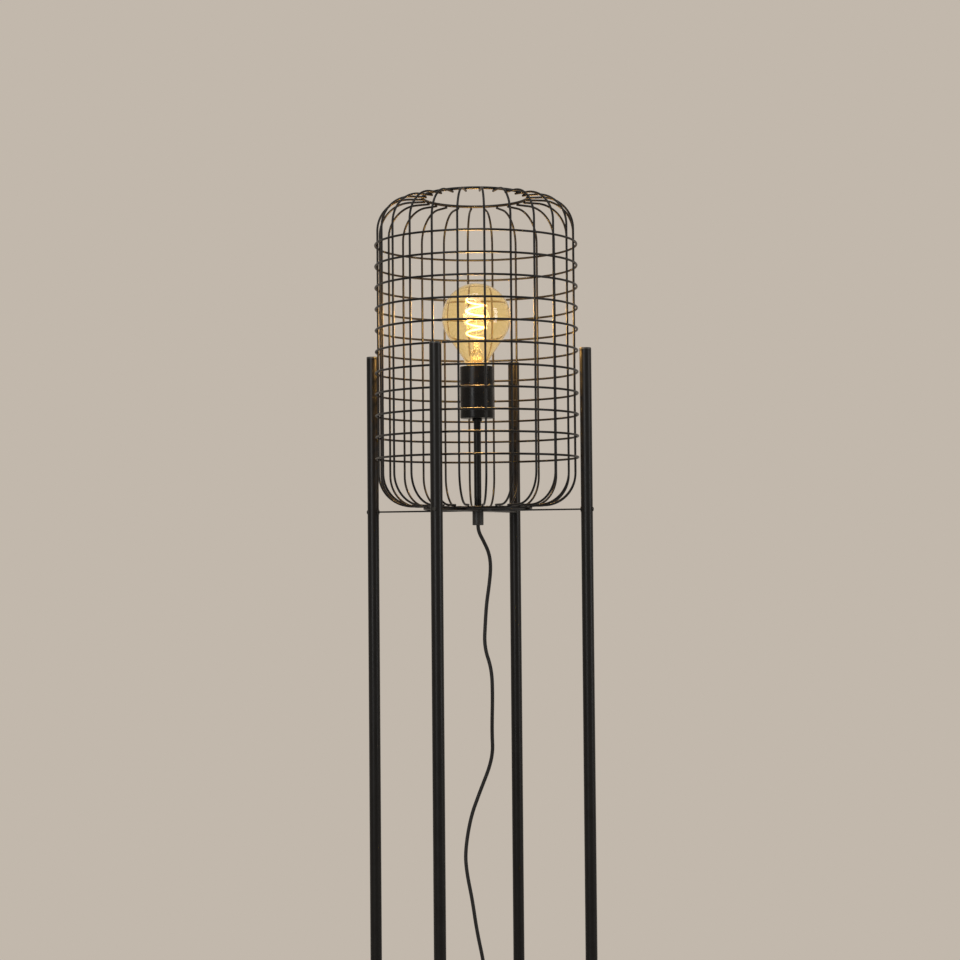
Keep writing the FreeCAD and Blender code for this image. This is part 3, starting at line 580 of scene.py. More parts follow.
# ---- Cord grip ---------------------------------------------------------
# A moulded nylon sleeve screwed on to the pipe under the cross. A small slotted
# screw in its side clamps the flex, so that no pull reaches the holder.

GRIP_RADIUS = 0.00765
GRIP_HOLE_RADIUS = 0.0028
NYLON_BLACK = "#0f0e0e"
ZINC = "#a7a8a6"


def moulded_plastic(name, hex_colour, roughness, texture_mm, depth=0.00003):
    """Injection moulded plastic: even colour, and the mould's spark-eroded texture."""
    finish, tree = new_finish(name)
    place = add_node(tree, "ShaderNodeTexCoord").outputs["Object"]
    texture = add_node(
        tree, "ShaderNodeTexNoise", None, {"Vector": place, "Scale": 1000.0 / texture_mm, "Detail": 2.0}
    )
    # Faint shine where hands and packing have rubbed it, in patches of 12 mm.
    rubbed = add_node(tree, "ShaderNodeTexNoise", None, {"Vector": place, "Scale": 80.0, "Detail": 3.0})
    gloss = add_node(
        tree,
        "ShaderNodeMapRange",
        None,
        {
            "Value": rubbed.outputs["Fac"],
            "From Min": 0.35,
            "From Max": 0.7,
            "To Min": roughness + 0.03,
            "To Max": roughness - 0.05,
        },
    )
    relief = add_node(
        tree, "ShaderNodeBump", None, {"Height": texture.outputs["Fac"], "Distance": depth, "Strength": 0.7}
    )
    skin = add_node(
        tree,
        "ShaderNodeBsdfPrincipled",
        None,
        {
            "Base Color": linear(hex_colour),
            "Roughness": gloss.outputs["Result"],
            "IOR": 1.5,
            "Normal": relief.outputs["Normal"],
        },
    )
    add_node(tree, "ShaderNodeOutputMaterial", None, {"Surface": skin.outputs[0]})
    return finish


def plated_metal(name, hex_colour, roughness, grain_mm):
    """Plated or drawn metal: its colour is its reflection, dulled by fine drawing lines."""
    finish, tree = new_finish(name)
    place = add_node(tree, "ShaderNodeTexCoord").outputs["Object"]
    lines = add_node(
        tree, "ShaderNodeTexNoise", None, {"Vector": place, "Scale": 1000.0 / grain_mm, "Detail": 3.0}
    )
    dulled = add_node(
        tree,
        "ShaderNodeMapRange",
        None,
        {
            "Value": lines.outputs["Fac"],
            "From Min": 0.3,
            "From Max": 0.7,
            "To Min": roughness - 0.06,
            "To Max": roughness + 0.08,
        },
    )
    metal = add_node(
        tree,
        "ShaderNodeBsdfPrincipled",
        None,
        {"Base Color": linear(hex_colour), "Metallic": 1.0, "Roughness": dulled.outputs["Result"]},
    )
    add_node(tree, "ShaderNodeOutputMaterial", None, {"Surface": metal.outputs[0]})
    return finish


nylon = moulded_plastic("moulded_black_nylon", NYLON_BLACK, 0.42, 0.35)
zinc_plate = plated_metal("zinc_plated_steel", ZINC, 0.34, 0.8)

GRIP_CHAMFER = 0.0006
grip_low, grip_high = (corner.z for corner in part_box("cord_grip"))
shape = bmesh.new()
lathe(
    shape,
    [
        (GRIP_HOLE_RADIUS, grip_low),
        (GRIP_RADIUS - GRIP_CHAMFER, grip_low),
        (GRIP_RADIUS, grip_low + GRIP_CHAMFER),
        (GRIP_RADIUS, grip_high),
        (GRIP_HOLE_RADIUS, grip_high),
    ],
    64,
    {0: 0.0004, 1: 0.0003, 2: 0.0003},
)
set_down(shape, "cord_grip_sleeve", nylon, ["cord_grip"])
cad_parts["grip_screw"].data.materials.clear()
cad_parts["grip_screw"].data.materials.append(zinc_plate)

# ---- Upright wires -----------------------------------------------------
# Twenty-four lengths of 3 mm mild steel wire, each bent inwards over a quarter
# circle at both ends and cropped square. They are jigged every 15 degrees.

WIRE_RADIUS = 0.0015
CAGE_RADIUS = 0.1356
SHOULDER = 0.044
WIRE_END = 0.0708
LOWER_PLANE = 1.0735
UPPER_PLANE = 1.4961
FIRST_UPRIGHT = 9.9
UPRIGHT_STEP = 15.0
GROUPS = 6
WIRES_A_GROUP = 4


def pull(shape, rim, by):
    """Draws a ring of edges out along a vector and returns the new ring."""
    drawn = bmesh.ops.extrude_edge_only(shape, edges=rim)["geom"]
    ends = {v for v in drawn if isinstance(v, bmesh.types.BMVert)}
    bmesh.ops.translate(shape, verts=list(ends), vec=by)
    return [e for e in shape.edges if e.verts[0] in ends and e.verts[1] in ends]


def bend(shape, rim, centre, axis, angle, steps):
    """Swings a ring of edges round an axis and returns the new ring."""
    turned = bmesh.ops.spin(
        shape,
        geom=list({v for e in rim for v in e.verts}) + rim,
        cent=centre,
        axis=axis,
        angle=angle,
        steps=steps,
    )
    return [e for e in turned["geom_last"] if isinstance(e, bmesh.types.BMEdge)]


bend_start = CAGE_RADIUS - SHOULDER
for group in range(GROUPS):
    shape = bmesh.new()
    bmesh.ops.create_circle(
        shape,
        segments=14,
        radius=WIRE_RADIUS,
        matrix=Matrix.Translation((WIRE_END, 0, LOWER_PLANE)) @ Matrix.Rotation(math.pi / 2, 4, "Y"),
    )
    cropped = rim = shape.edges[:]
    rim = pull(shape, rim, (bend_start - WIRE_END, 0, 0))
    rim = bend(shape, rim, (bend_start, 0, LOWER_PLANE + SHOULDER), (0, -1, 0), math.pi / 2, 18)
    rim = pull(shape, rim, (0, 0, UPPER_PLANE - LOWER_PLANE - 2 * SHOULDER))
    rim = bend(shape, rim, (bend_start, 0, UPPER_PLANE - SHOULDER), (0, -1, 0), math.pi / 2, 18)
    rim = pull(shape, rim, (WIRE_END - bend_start, 0, 0))
    bmesh.ops.holes_fill(shape, edges=cropped + rim, sides=0)
    ease(shape, cropped + rim, 0.00025)
    bmesh.ops.rotate(
        shape,
        cent=(0, 0, 0),
        matrix=Matrix.Rotation(math.radians(FIRST_UPRIGHT + group * WIRES_A_GROUP * UPRIGHT_STEP), 3, "Z"),
        verts=shape.verts,
    )
    bmesh.ops.spin(
        shape,
        geom=shape.verts[:] + shape.edges[:] + shape.faces[:],
        cent=(0, 0, 0),
        axis=(0, 0, 1),
        angle=math.radians((WIRES_A_GROUP - 1) * UPRIGHT_STEP),
        steps=WIRES_A_GROUP - 1,
        use_duplicate=True,
    )
    name = "upright_wires_%d" % (group + 1)
    set_down(shape, "bent_" + name, frame_coat, [name])

# ---- Hoops and end rings -----------------------------------------------
# Eleven hoops of the same wire go round the outside. A ring of 4 mm wire lies
# under the uprights' lower ends, and another on their upper ends. Each is rolled
# and butt welded, and its join is turned towards a leg, where it shows least.

HOOP_RADIUS = 0.1387
RING_WIRE_RADIUS = 0.002
JOIN_ANGLE = math.radians(225)


def rolled_wire(radius, section_radius, level):
    """A closed wire ring with the low bead of its butt weld."""
    shape = bmesh.new()
    rim = bmesh.ops.create_circle(
        shape,
        segments=14,
        radius=section_radius,
        matrix=Matrix.Translation((radius, 0, level)) @ Matrix.Rotation(math.pi / 2, 4, "X"),
    )["verts"]
    bmesh.ops.spin(
        shape,
        geom=rim + shape.edges[:],
        cent=(0, 0, 0),
        axis=(0, 0, 1),
        angle=math.tau,
        steps=180,
        use_merge=True,
    )
    bmesh.ops.create_uvsphere(
        shape,
        u_segments=10,
        v_segments=6,
        radius=section_radius * 1.14,
        matrix=Matrix.Rotation(JOIN_ANGLE, 4, "Z")
        @ Matrix.Translation((radius, 0, level))
        @ Matrix.Diagonal((1, 0.8, 0.87, 1)),
    )
    return shape


hoop_levels = []
for number in range(1, 12):
    name = "hoop_%02d" % number
    low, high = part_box(name)
    hoop_levels.append((low.z + high.z) / 2)
    shape = rolled_wire(HOOP_RADIUS, WIRE_RADIUS, hoop_levels[-1])
    set_down(shape, "rolled_" + name, frame_coat, [name])

ring_levels = []
for name in ("bottom_ring", "top_ring"):
    low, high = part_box(name)
    ring_levels.append((low.z + high.z) / 2)
    ring_radius = (high.x - low.x) / 2 - RING_WIRE_RADIUS
    shape = rolled_wire(ring_radius, RING_WIRE_RADIUS, ring_levels[-1])
    set_down(shape, "rolled_" + name, frame_coat, [name])

# ---- Welds -------------------------------------------------------------
# Every crossing is spot welded: the wires are squeezed together under current
# and leave a small nugget between them, which the powder coat then fills out.

NUGGET = 0.0015


def weld(shape, angle, radius, level, flat):
    """One weld nugget, squashed along the direction in which the wires were pressed."""
    bmesh.ops.create_uvsphere(
        shape,
        u_segments=8,
        v_segments=4,
        radius=NUGGET,
        matrix=Matrix.Rotation(angle, 4, "Z") @ Matrix.Translation(
            (radius, 0, level)
        ) @ Matrix.Diagonal((*flat, 1)),
    )


shape = bmesh.new()
for number in range(24):
    angle = math.radians(FIRST_UPRIGHT + number * UPRIGHT_STEP)
    for level in hoop_levels:
        weld(shape, angle, (CAGE_RADIUS + HOOP_RADIUS) / 2, level, (0.6, 0.95, 0.95))
    for plane, ring_level in zip((LOWER_PLANE, UPPER_PLANE), ring_levels):
        weld(shape, angle, ring_radius, (plane + ring_level) / 2, (0.95, 0.95, 0.7))
for corner in range(4):
    angle = math.radians(45 + 90 * corner)
    weld(shape, angle, ring_radius, plate_top + 0.0001, (1.2, 0.95, 0.35))
set_down(shape, "spot_welds", frame_coat, [])

# ---- Legs --------------------------------------------------------------
# Four straight steel tubes, 16 mm across and coated like the cage. Each is
# closed by a moulded cap above and a rubber foot below, and one low screw from
# outside holds it to its arm of the cross.

TUBE_RADIUS = 0.008
TUBE_WALL = 0.0012
FOOT_FLANGE = 0.004
CAP_FLANGE = 0.0025
EPDM_BLACK = "#141414"
LEGS = {
    "leg_back_right": 45,
    "leg_back_left": 135,
    "leg_front_left": 225,
    "leg_front_right": 315,
}

tube_coat = powder_coat("satin_black_tube_coat", COAT_BLACK, 0.36)
cap_plastic = moulded_plastic("moulded_black_polypropylene", "#1a1918", 0.46, 0.5)
foot_rubber = moulded_plastic("moulded_black_rubber", EPDM_BLACK, 0.72, 0.6, 0.00005)

for name, angle in LEGS.items():
    low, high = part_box(name)
    middle = (low + high) / 2
    shape = bmesh.new()
    lathe(
        shape,
        [
            (TUBE_RADIUS - TUBE_WALL, low.z),
            (TUBE_RADIUS - 0.0003, low.z),
            (TUBE_RADIUS, low.z + 0.0003),
            (TUBE_RADIUS, high.z - 0.0003),
            (TUBE_RADIUS - 0.0003, high.z),
            (TUBE_RADIUS - TUBE_WALL, high.z),
        ],
        72,
    )
    bmesh.ops.translate(shape, verts=shape.verts, vec=(middle.x, middle.y, 0))
    set_down(shape, name + "_tube", tube_coat, [name])

low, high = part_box("leg_caps")
leg_offset = high.x - TUBE_RADIUS
stub = TUBE_RADIUS - TUBE_WALL - 0.00005
caps = bmesh.new()
feet = bmesh.new()
for angle in LEGS.values():
    corner = Vector((math.copysign(leg_offset, math.cos(math.radians(angle))), 0, 0))
    corner.y = math.copysign(leg_offset, math.sin(math.radians(angle)))
    shape = bmesh.new()
    lathe(
        shape,
        [
            (0, high.z),
            (TUBE_RADIUS, high.z),
            (TUBE_RADIUS, high.z - CAP_FLANGE),
            (stub, high.z - CAP_FLANGE),
            (stub, low.z),
            (0, low.z),
        ],
        72,
        {1: 0.0009},
        5,
    )
    bmesh.ops.translate(shape, verts=shape.verts, vec=corner)
    made = bpy.data.meshes.new("cap")
    shape.to_mesh(made)
    caps.from_mesh(made)
    shape.free()
    shape = bmesh.new()
    lathe(
        shape,
        [
            (0, 0),
            (TUBE_RADIUS, 0),
            (TUBE_RADIUS, FOOT_FLANGE),
            (stub, FOOT_FLANGE),
            (stub, FOOT_FLANGE + 0.013),
            (0, FOOT_FLANGE + 0.013),
        ],
        72,
        {1: 0.001},
        4,
    )
    bmesh.ops.translate(shape, verts=shape.verts, vec=corner)
    made = bpy.data.meshes.new("foot")
    shape.to_mesh(made)
    feet.from_mesh(made)
    shape.free()
set_down(caps, "moulded_leg_caps", cap_plastic, ["leg_caps"])
set_down(feet, "rubber_leg_feet", foot_rubber, ["leg_feet"])

# The screws are low-headed, with a hexagon socket, in black zinc.
SCREW_HEAD_RADIUS = 0.0028
SCREW_HEAD_HEIGHT = 0.001
SOCKET_FLATS = 0.0025
SOCKET_DEPTH = 0.0006
black_zinc = plated_metal("black_zinc_plated_screw", "#2a2927", 0.4, 0.5)

low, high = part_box("leg_screws")
plate_middle = (low.z + high.z) / 2
head_seat = leg_offset * math.sqrt(2) + TUBE_RADIUS + 0.0001
screws = bmesh.new()
for angle in LEGS.values():
    shape = bmesh.new()
    lathe(
        shape,
        [
            (0, -0.009),
            (0.002, -0.009),
            (0.002, 0),
            (SCREW_HEAD_RADIUS, 0),
            (SCREW_HEAD_RADIUS, SCREW_HEAD_HEIGHT * 0.6),
            (SCREW_HEAD_RADIUS * 0.78, SCREW_HEAD_HEIGHT),
            (SCREW_HEAD_RADIUS * 0.6, SCREW_HEAD_HEIGHT),
        ],
        36,
    )
    rim = [e for e in shape.edges if len(e.link_faces) == 1]
    socket = bmesh.ops.create_circle(
        shape,
        segments=6,
        radius=SOCKET_FLATS / math.sqrt(3),
        matrix=Matrix.Translation((0, 0, SCREW_HEAD_HEIGHT)),
    )["verts"]
    hexagon = list({e for v in socket for e in v.link_edges})
    bmesh.ops.bridge_loops(shape, edges=rim + hexagon)
    floor_rim = pull(shape, hexagon, (0, 0, -SOCKET_DEPTH))
    bmesh.ops.holes_fill(shape, edges=floor_rim, sides=0)
    bmesh.ops.transform(
        shape,
        matrix=Matrix.Rotation(math.radians(angle), 4, "Z")
        @ Matrix.Translation((head_seat, 0, plate_middle))
        @ Matrix.Rotation(math.pi / 2, 4, "Y"),
        verts=shape.verts,
    )
    made = bpy.data.meshes.new("screw")
    shape.to_mesh(made)
    screws.from_mesh(made)
    shape.free()
set_down(screws, "leg_socket_screws", black_zinc, ["leg_screws"])
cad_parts["arm_sleeves"].data.materials.clear()
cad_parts["arm_sleeves"].data.materials.append(frame_coat)

# ---- Lampholder --------------------------------------------------------
# A screw lampholder in a drawn steel cup, painted semi-gloss black. Inside it
# stand a thermoset base and skirt, a ceramic contact plate and the screw shell.

CUP_RADIUS = 0.0232
CUP_WALL = 0.001
CUP_BLACK = "#080707"
SKIRT_RADIUS = 0.02
SHELL_RADIUS = 0.014
SHELL_BORE = 0.0135
BRASS = "#b98f4e"
NICKEL = "#b3aea4"
GLAZE = "#e9e4da"

cup_paint = powder_coat("semi_gloss_cup_paint", CUP_BLACK, 0.27)
thermoset = moulded_plastic("moulded_black_thermoset", "#161514", 0.5, 0.4)
brass = plated_metal("stamped_brass", BRASS, 0.3, 0.6)
nickel = plated_metal("nickel_plated_sheet", NICKEL, 0.28, 0.7)
ceramic = moulded_plastic("glazed_steatite", GLAZE, 0.25, 1.5, 0.00001)

cup_low, cup_high = (corner.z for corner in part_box("holder_cup"))
shape = bmesh.new()
lathe(
    shape,
    [
        (0.0052, cup_low),
        (CUP_RADIUS, cup_low),
        (CUP_RADIUS, cup_high),
        (CUP_RADIUS - CUP_WALL, cup_high),
        (CUP_RADIUS - CUP_WALL, cup_low + CUP_WALL),
        (0.0052, cup_low + CUP_WALL),
    ],
    128,
    {1: 0.0015, 2: 0.0004, 3: 0.0004},
    5,
)
set_down(shape, "drawn_holder_cup", cup_paint, ["holder_cup"])

skirt_low, skirt_high = (corner.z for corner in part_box("holder_skirt"))
shell_low, shell_high = (corner.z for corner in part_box("screw_shell"))
carrier_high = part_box("contact_carrier")[1].z
shape = bmesh.new()
lathe(
    shape,
    [
        (0.017, skirt_low),
        (SKIRT_RADIUS, skirt_low),
        (SKIRT_RADIUS, skirt_high),
        (SHELL_RADIUS + 0.00015, skirt_high),
        (SHELL_RADIUS + 0.00015, carrier_high + 0.0001),
        (0.017, carrier_high + 0.0001),
    ],
    96,
    {2: 0.0008, 3: 0.0006},
    4,
)
set_down(shape, "moulded_holder_skirt", thermoset, ["holder_skirt"])

shape = bmesh.new()
lathe(
    shape,
    [
        (SHELL_BORE - 0.005, shell_low),
        (SHELL_RADIUS, shell_low),
        (SHELL_RADIUS, shell_high),
        (SHELL_BORE, shell_high),
        (SHELL_BORE, shell_low + 0.0005),
        (SHELL_BORE - 0.005, shell_low + 0.0005),
    ],
    96,
    {2: 0.0002, 3: 0.0002},
)
set_down(shape, "rolled_screw_shell", nickel, ["screw_shell"])

for name, finish in {
    "holder_base": thermoset,
    "contact_carrier": ceramic,
    "centre_contact": brass,
    "terminal_blocks": brass,
    "core_wires": pvc_jacket("core_insulation", "#7a4a2a"),
}.items():
    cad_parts[name].data.materials.clear()
    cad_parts[name].data.materials.append(finish)

# ---- Bulb --------------------------------------------------------------
# A 95 mm globe of amber-tinted glass on an E27 cap, drawn with its filament
# lit. It turns on its screw and lifts out of the holder.

BULB = "bulb"
glass_low, glass_high = (corner.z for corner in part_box("bulb_glass"))
GLOBE_RADIUS = 0.0475
CONE_ANGLE = math.radians(35)
NECK_RADIUS = 0.017
NECK_FILLET = 0.014
GLASS_WALL = 0.0009
CAP_ROOT_RADIUS = 0.0122
CAP_CREST_RADIUS = 0.0131
CAP_PITCH = 0.00362
AMBER = "#fdf3d2"
CLEAR = "#fdf8ee"
# The warm colour of the glow painted on the glass, which is no lamp itself.
GLASS_PAINTED_GLOW = "#ffc24e"


def blown_glass(name, hex_colour, painted_glow_strength):
    """Thin blown glass, tinted and clear. Lamp light passes it, and a faint warm glow is painted on it in
    place of the filament's light scattered in the glass.
    """
    finish, tree = new_finish(name)
    place = add_node(tree, "ShaderNodeTexCoord").outputs["Object"]
    # Blowing leaves slow waves in the wall, about 25 mm long.
    waves = add_node(tree, "ShaderNodeTexNoise", None, {"Vector": place, "Scale": 40.0, "Detail": 1.0})
    relief = add_node(
        tree, "ShaderNodeBump", None, {"Height": waves.outputs["Fac"], "Distance": 0.0004, "Strength": 0.25}
    )
    glass = add_node(
        tree,
        "ShaderNodeBsdfPrincipled",
        None,
        {
            "Base Color": linear(hex_colour),
            "Roughness": 0.02,
            "IOR": 1.47,
            "Transmission Weight": 1.0,
            # Painted glow: the glass emits a faint warm light of its own, standing in for the filament's
            # light scattered in it.
            "Emission Color": linear(GLASS_PAINTED_GLOW),
            "Emission Strength": painted_glow_strength,
            "Normal": relief.outputs["Normal"],
        },
    )
    through = add_node(tree, "ShaderNodeBsdfTransparent", None, {"Color": linear(hex_colour)})
    lamp_ray = add_node(tree, "ShaderNodeLightPath").outputs["Is Shadow Ray"]
    either = add_node(
        tree, "ShaderNodeMixShader", None, {0: lamp_ray, 1: glass.outputs[0], 2: through.outputs[0]}
    )
    add_node(tree, "ShaderNodeOutputMaterial", None, {"Surface": either.outputs[0]})
    return finish


# Both glasses carry a faint painted glow. The stem's glow is a little stronger.
amber_glass = blown_glass("amber_blown_glass_painted_glow", AMBER, 0.035)
clear_glass = blown_glass("clear_pressed_glass_painted_glow", CLEAR, 0.06)

# The globe's outline is drawn with a point that swings and runs, then turned.
globe_centre = glass_high - GLOBE_RADIUS
shape = bmesh.new()
pen = shape.verts.new((0, 0, glass_high))
drawn = bmesh.ops.spin(
    shape,
    geom=[pen],
    cent=(0, 0, globe_centre),
    axis=(0, 1, 0),
    angle=math.pi / 2 + CONE_ANGLE,
    steps=48,
)["geom_last"]
pen = next(v for v in drawn if isinstance(v, bmesh.types.BMVert))
setback = NECK_FILLET * math.tan(CONE_ANGLE / 2)
fall = (pen.co.x - NECK_RADIUS) / math.tan(CONE_ANGLE)
corner = Vector((NECK_RADIUS, 0, pen.co.z - fall))
slope_end = corner + Vector((math.sin(CONE_ANGLE), 0, math.cos(CONE_ANGLE))) * setback
neck_start = corner - Vector((0, 0, setback))
slope = bmesh.ops.extrude_vert_indiv(shape, verts=[pen])["verts"][0]
slope.co = slope_end
drawn = bmesh.ops.spin(
    shape,
    geom=[slope],
    cent=neck_start + Vector((NECK_FILLET, 0, 0)),
    axis=(0, -1, 0),
    angle=CONE_ANGLE,
    steps=12,
)["geom_last"]
pen = next(v for v in drawn if isinstance(v, bmesh.types.BMVert))
cap_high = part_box("bulb_cap")[1].z
for place in (
    (NECK_RADIUS, 0, cap_high + 0.004),
    (CAP_ROOT_RADIUS + 0.0002, 0, cap_high + 0.0001),
    (CAP_ROOT_RADIUS + 0.0002, 0, glass_low),
):
    pen = bmesh.ops.extrude_vert_indiv(shape, verts=[pen])["verts"][0]
    pen.co = place
bmesh.ops.spin(
    shape,
    geom=shape.verts[:] + shape.edges[:],
    cent=(0, 0, 0),
    axis=(0, 0, 1),
    angle=math.tau,
    steps=128,
    use_merge=True,
)
bmesh.ops.remove_doubles(shape, verts=shape.verts, dist=1e-6)
bmesh.ops.recalc_face_normals(shape, faces=shape.faces)
bmesh.ops.solidify(shape, geom=shape.faces[:], thickness=GLASS_WALL)
set_down(shape, "blown_globe", amber_glass, ["bulb_glass"], BULB, 60)

# The cap is rolled from thin brass sheet, with a round screw thread.
cap_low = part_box("bulb_cap")[0].z
shape = bmesh.new()
lathe(
    shape,
    [
        (CAP_ROOT_RADIUS - 0.0004, cap_low),
        (CAP_ROOT_RADIUS, cap_low),
        (CAP_ROOT_RADIUS, cap_high - 0.0035),
        (CAP_CREST_RADIUS, cap_high - 0.0028),
        (CAP_CREST_RADIUS, cap_high),
        (CAP_ROOT_RADIUS - 0.0004, cap_high),
    ],
    96,
    {3: 0.0004, 4: 0.0004},
)
helix(
    shape,
    0.00105,
    CAP_CREST_RADIUS - 0.00105,
    CAP_PITCH,
    cap_low + 0.0018,
    4,
    sides=12,
    steps=72,
    flatten=1.35,
)
set_down(shape, "rolled_bulb_cap", brass, ["bulb_cap"], BULB, 45)

# Inside stand a pressed glass stem, two nickel wires and the filament: a strip
# of tiny light-emitting chips under phosphor, wound into an open spiral.
mount_low, mount_high = (corner.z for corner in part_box("bulb_mount"))
shape = bmesh.new()
lathe(
    shape,
    [
        (0, mount_low + 0.0252),
        (0.0084, mount_low + 0.0252),
        (0.0084, mount_low + 0.005),
        (0.0104, mount_low + 0.0015),
        (0.0104, mount_low),
        (0.0114, mount_low),
        (0.0114, mount_low + 0.0015),
        (0.0095, mount_low + 0.005),
        (0.0095, mount_low + 0.0264),
        (0.005, mount_low + 0.0341),
        (0.004, mount_low + 0.0374),
        (0.004, mount_high),
        (0, mount_high),
    ],
    64,
    {8: 0.003, 9: 0.002, 11: 0.0015},
    5,
)
set_down(shape, "pressed_glass_stem", clear_glass, ["bulb_mount"], BULB, 60)

filament_low, filament_high = (corner.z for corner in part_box("filament"))
FILAMENT_RADIUS = 0.0135
FILAMENT_THICKNESS = 0.0024
FILAMENT_TURNS = 3.5

hot_phosphor, tree = new_finish("hot_phosphor_strip")
place = add_node(tree, "ShaderNodeTexCoord").outputs["Object"]
# The chips sit about 1.2 mm apart under the phosphor and show as brighter grains.
grains = add_node(tree, "ShaderNodeTexNoise", None, {"Vector": place, "Scale": 800.0, "Detail": 1.0})
heat = add_node(
    tree,
    "ShaderNodeMapRange",
    None,
    {"Value": grains.outputs["Fac"], "From Min": 0.3, "From Max": 0.7, "To Min": 3.0, "To Max": 5.0},
)
strip = add_node(
    tree,
    "ShaderNodeBsdfPrincipled",
    None,
    {
        "Base Color": linear("#f4c264"),
        "Roughness": 0.5,
        "Emission Color": linear("#ffd890"),
        "Emission Strength": heat.outputs["Result"],
    },
)
add_node(tree, "ShaderNodeOutputMaterial", None, {"Surface": strip.outputs[0]})

shape = bmesh.new()
centre_low = filament_low + FILAMENT_THICKNESS / 2
rise = filament_high - filament_low - FILAMENT_THICKNESS
helix(
    shape,
    FILAMENT_THICKNESS / 2,
    FILAMENT_RADIUS,
    rise / FILAMENT_TURNS,
    centre_low,
    FILAMENT_TURNS,
    sides=14,
    steps=48,
)
set_down(shape, "spiral_filament", hot_phosphor, ["filament"], BULB, 60)

nickel_wire = plated_metal("drawn_nickel_wire", "#a9a29a", 0.3, 0.5)
for name, finish in {
    "filament_wires": nickel_wire,
    "bulb_insulator": moulded_plastic("black_vitrite", "#0f0e10", 0.2, 1.0, 0.00001),
    "bulb_contact": plated_metal("tin_solder", "#b9b8b4", 0.35, 0.8),
}.items():
    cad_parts[name].data.materials.clear()
    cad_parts[name].data.materials.append(finish)

# ---- Foot switch -------------------------------------------------------
# A two-part moulded case with a round push button, laid in the flex. Ribbed
# rubber strain reliefs carry the flex in and out.

SWITCH_Y = -0.078
SWITCH_AXIS = 0.006
RELIEF_ROOT = 0.0045
RELIEF_TIP = 0.0032
RELIEF_LENGTH = 0.02
RIBS = 6

switch_plastic = moulded_plastic("moulded_black_abs", "#1c1b1a", 0.3, 0.45)
base_plastic = moulded_plastic("moulded_black_abs_base", "#181716", 0.48, 0.5)
relief_rubber = moulded_plastic("moulded_pvc_relief", "#181716", 0.5, 0.4)
spring_steel = plated_metal("drawn_spring_steel", "#8f9092", 0.28, 0.4)

shape = copy_of("switch_base")
ease(shape, [e for e in sharp_edges(shape, 50) if min(v.co.z for v in e.verts) > 0.0075], 0.0003)
set_down(shape, "switch_case_base", base_plastic, ["switch_base"], crease=40)
shape = copy_of("switch_cover")
ease(shape, [e for e in sharp_edges(shape, 50) if max(v.co.z for v in e.verts) < 0.0085], 0.0003)
set_down(shape, "switch_case_cover", switch_plastic, ["switch_cover"], crease=40)

button_low, button_high = (corner.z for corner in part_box("switch_button"))
shape = bmesh.new()
lathe(
    shape,
    [
        (0, button_low),
        (0.0095, button_low),
        (0.0095, button_low + 0.0015),
        (0.0077, button_low + 0.0015),
        (0.0077, button_high),
        (0.0062, button_high),
        (0.0056, button_high - 0.0005),
        (0, button_high - 0.0008),
    ],
    96,
    {2: 0.0003, 4: 0.0009, 5: 0.0003, 6: 0.0004},
    4,
)
bmesh.ops.translate(shape, verts=shape.verts, vec=(0, SWITCH_Y, 0))
set_down(shape, "push_button", switch_plastic, ["switch_button"], "foot_button", 40)


def strain_relief(shape, root_radius, tip_radius, length, bore_radius):
    """A tapered sleeve along +X from the origin, ringed with shallow grooves."""
    sleeve = bmesh.new()
    taper = (tip_radius - root_radius) / length
    outline = [(bore_radius, 0), (root_radius, 0)]
    for rib in range(RIBS):
        start = length * (0.14 + 0.8 * rib / RIBS)
        end = start + length * 0.045
        outline += [
            (root_radius + taper * start, start),
            (root_radius + taper * start - 0.0006, start + 0.0001),
            (root_radius + taper * end - 0.0006, end - 0.0001),
            (root_radius + taper * end, end),
        ]
    outline += [(tip_radius, length), (bore_radius, length)]
    lathe(sleeve, outline, 48, {len(outline) - 2: 0.0003})
    bmesh.ops.transform(sleeve, matrix=Matrix.Rotation(math.pi / 2, 4, "Y"), verts=sleeve.verts)
    made = bpy.data.meshes.new("relief")
    sleeve.to_mesh(made)
    sleeve.free()
    shape.from_mesh(made)


for side, name in ((0, "switch_relief_in"), (1, "switch_relief_out")):
    shape = bmesh.new()
    strain_relief(shape, RELIEF_ROOT, RELIEF_TIP, RELIEF_LENGTH, FLEX_THICKNESS / 2 - 0.0002)
    bmesh.ops.transform(
        shape,
        matrix=Matrix.Translation(
            (0.04 - 0.08 * side, SWITCH_Y, SWITCH_AXIS)
        ) @ Matrix.Rotation(math.pi * side, 4, "Z"),
        verts=shape.verts,
    )
    set_down(shape, name, relief_rubber, ["switch_reliefs"], crease=40)

# The return spring is wound from 1 mm steel wire, and shortens under the button.
SPRING_WIRE = 0.001
SPRING_RADIUS = 0.0045
SPRING_TURNS = 5
low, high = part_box("button_spring")
spring_height = high.z - low.z
shape = bmesh.new()
helix(
    shape,
    SPRING_WIRE / 2,
    SPRING_RADIUS,
    (spring_height - SPRING_WIRE) / SPRING_TURNS,
    low.z + SPRING_WIRE / 2,
    SPRING_TURNS,
    sides=12,
    steps=40,
)
bmesh.ops.translate(shape, verts=shape.verts, vec=(0, SWITCH_Y, 0))
spring = set_down(shape, "wound_button_spring", spring_steel, ["button_spring"], crease=50)
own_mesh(spring)

# ---- Plug --------------------------------------------------------------
# A flat two-pin plug, moulded in one shot round its pins, with a grip of low
# ridges on top and a ribbed strain relief.

PLUG_X = 0.04
PLUG_Y = 0.08
PLUG_AXIS = 0.00685

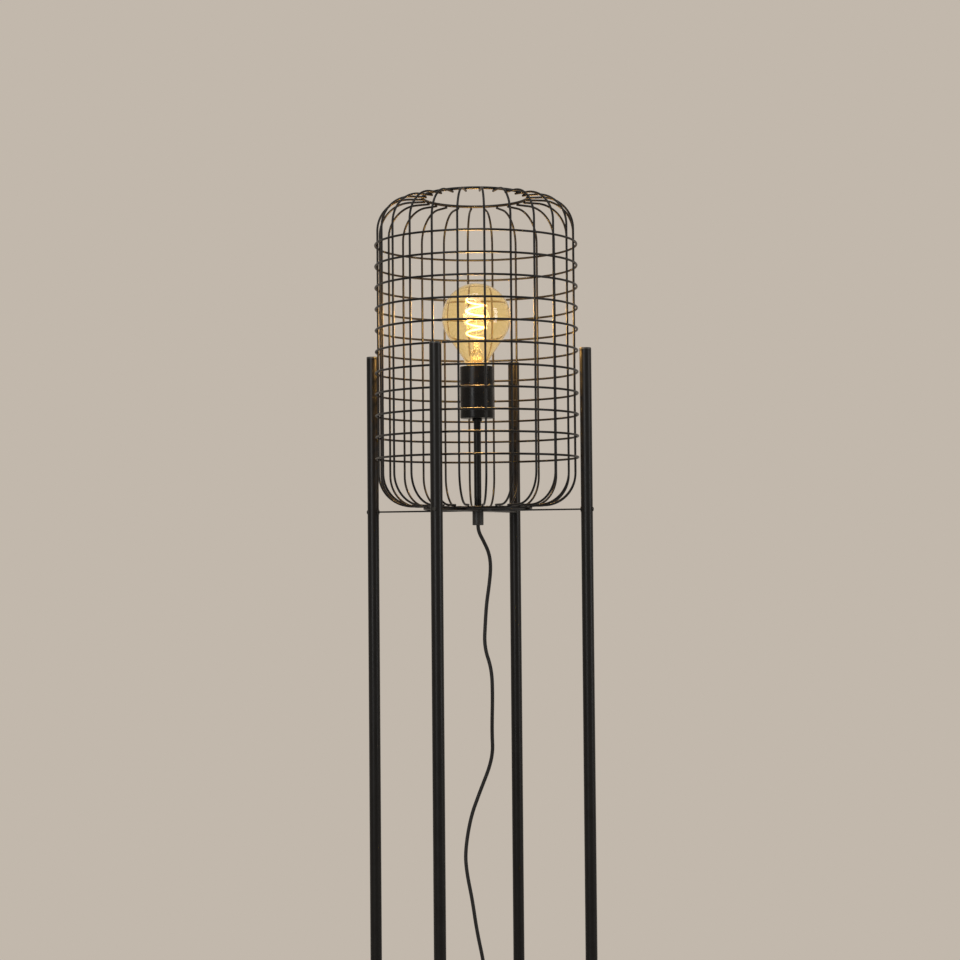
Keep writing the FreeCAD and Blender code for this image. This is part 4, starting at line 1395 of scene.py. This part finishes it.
plug_plastic = moulded_plastic("moulded_black_pvc_plug", "#191817", 0.36, 0.4)
shape = copy_of("plug_body")
bmesh.ops.bisect_plane(
    shape,
    geom=shape.verts[:] + shape.edges[:] + shape.faces[:],
    plane_co=(PLUG_X - 0.0002, 0, 0),
    plane_no=(-1, 0, 0),
    clear_outer=True,
)
bmesh.ops.holes_fill(shape, edges=[e for e in shape.edges if len(e.link_faces) == 1], sides=0)
known = set(shape.verts)
strain_relief(shape, 0.00475, RELIEF_TIP, RELIEF_LENGTH, FLEX_THICKNESS / 2 - 0.0002)
fresh = [v for v in shape.verts if v not in known]
bmesh.ops.transform(
    shape,
    matrix=Matrix.Translation((PLUG_X, PLUG_Y, PLUG_AXIS)) @ Matrix.Rotation(math.pi, 4, "Z"),
    verts=fresh,
)
plug_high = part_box("plug_body")[1].z
for ridge in range(5):
    known = set(shape.verts)
    bar = bmesh.ops.create_cube(
        shape,
        size=1.0,
        matrix=Matrix.Translation((PLUG_X + 0.018 + ridge * 0.003, PLUG_Y, plug_high + 0.0001))
        @ Matrix.Diagonal((0.0012, 0.019, 0.0008, 1)),
    )["verts"]
    ease(shape, list({e for v in bar for e in v.link_edges}), 0.0003)
set_down(shape, "moulded_plug", plug_plastic, ["plug_body"], crease=40)
shape = copy_of("plug_pins")
set_down(shape, "plated_plug_pins", nickel, ["plug_pins"], crease=40)

# ---- Coil tie ----------------------------------------------------------
# A reusable strap of black nylon, wrapped once round the coil's turns.

low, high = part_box("coil_tie")
STRAP = 0.0007
STRAP_CORNER = 0.0026

tie_finish = moulded_plastic("woven_nylon_strap", "#1d1c1b", 0.62, 0.7, 0.00006)
shape = bmesh.new()
strap = [
    shape.verts.new((x, low.y, z))
    for x, z in (
        (low.x + STRAP, low.z + STRAP),
        (high.x - STRAP, low.z + STRAP),
        (high.x - STRAP, high.z - STRAP),
        (low.x + STRAP, high.z - STRAP),
    )
]
for first, second in zip(strap, strap[1:] + strap[:1]):
    shape.edges.new((first, second))
bmesh.ops.bevel(
    shape,
    geom=strap,
    offset=STRAP_CORNER - STRAP,
    segments=6,
    profile=0.5,
    affect="VERTICES",
    material=-1,
    clamp_overlap=True,
)
pull(shape, shape.edges[:], (0, high.y - low.y, 0))
bmesh.ops.recalc_face_normals(shape, faces=shape.faces)
bmesh.ops.solidify(shape, geom=shape.faces[:], thickness=-STRAP)
coil_tie = set_down(shape, "coil_strap", tie_finish, ["coil_tie"], crease=50)
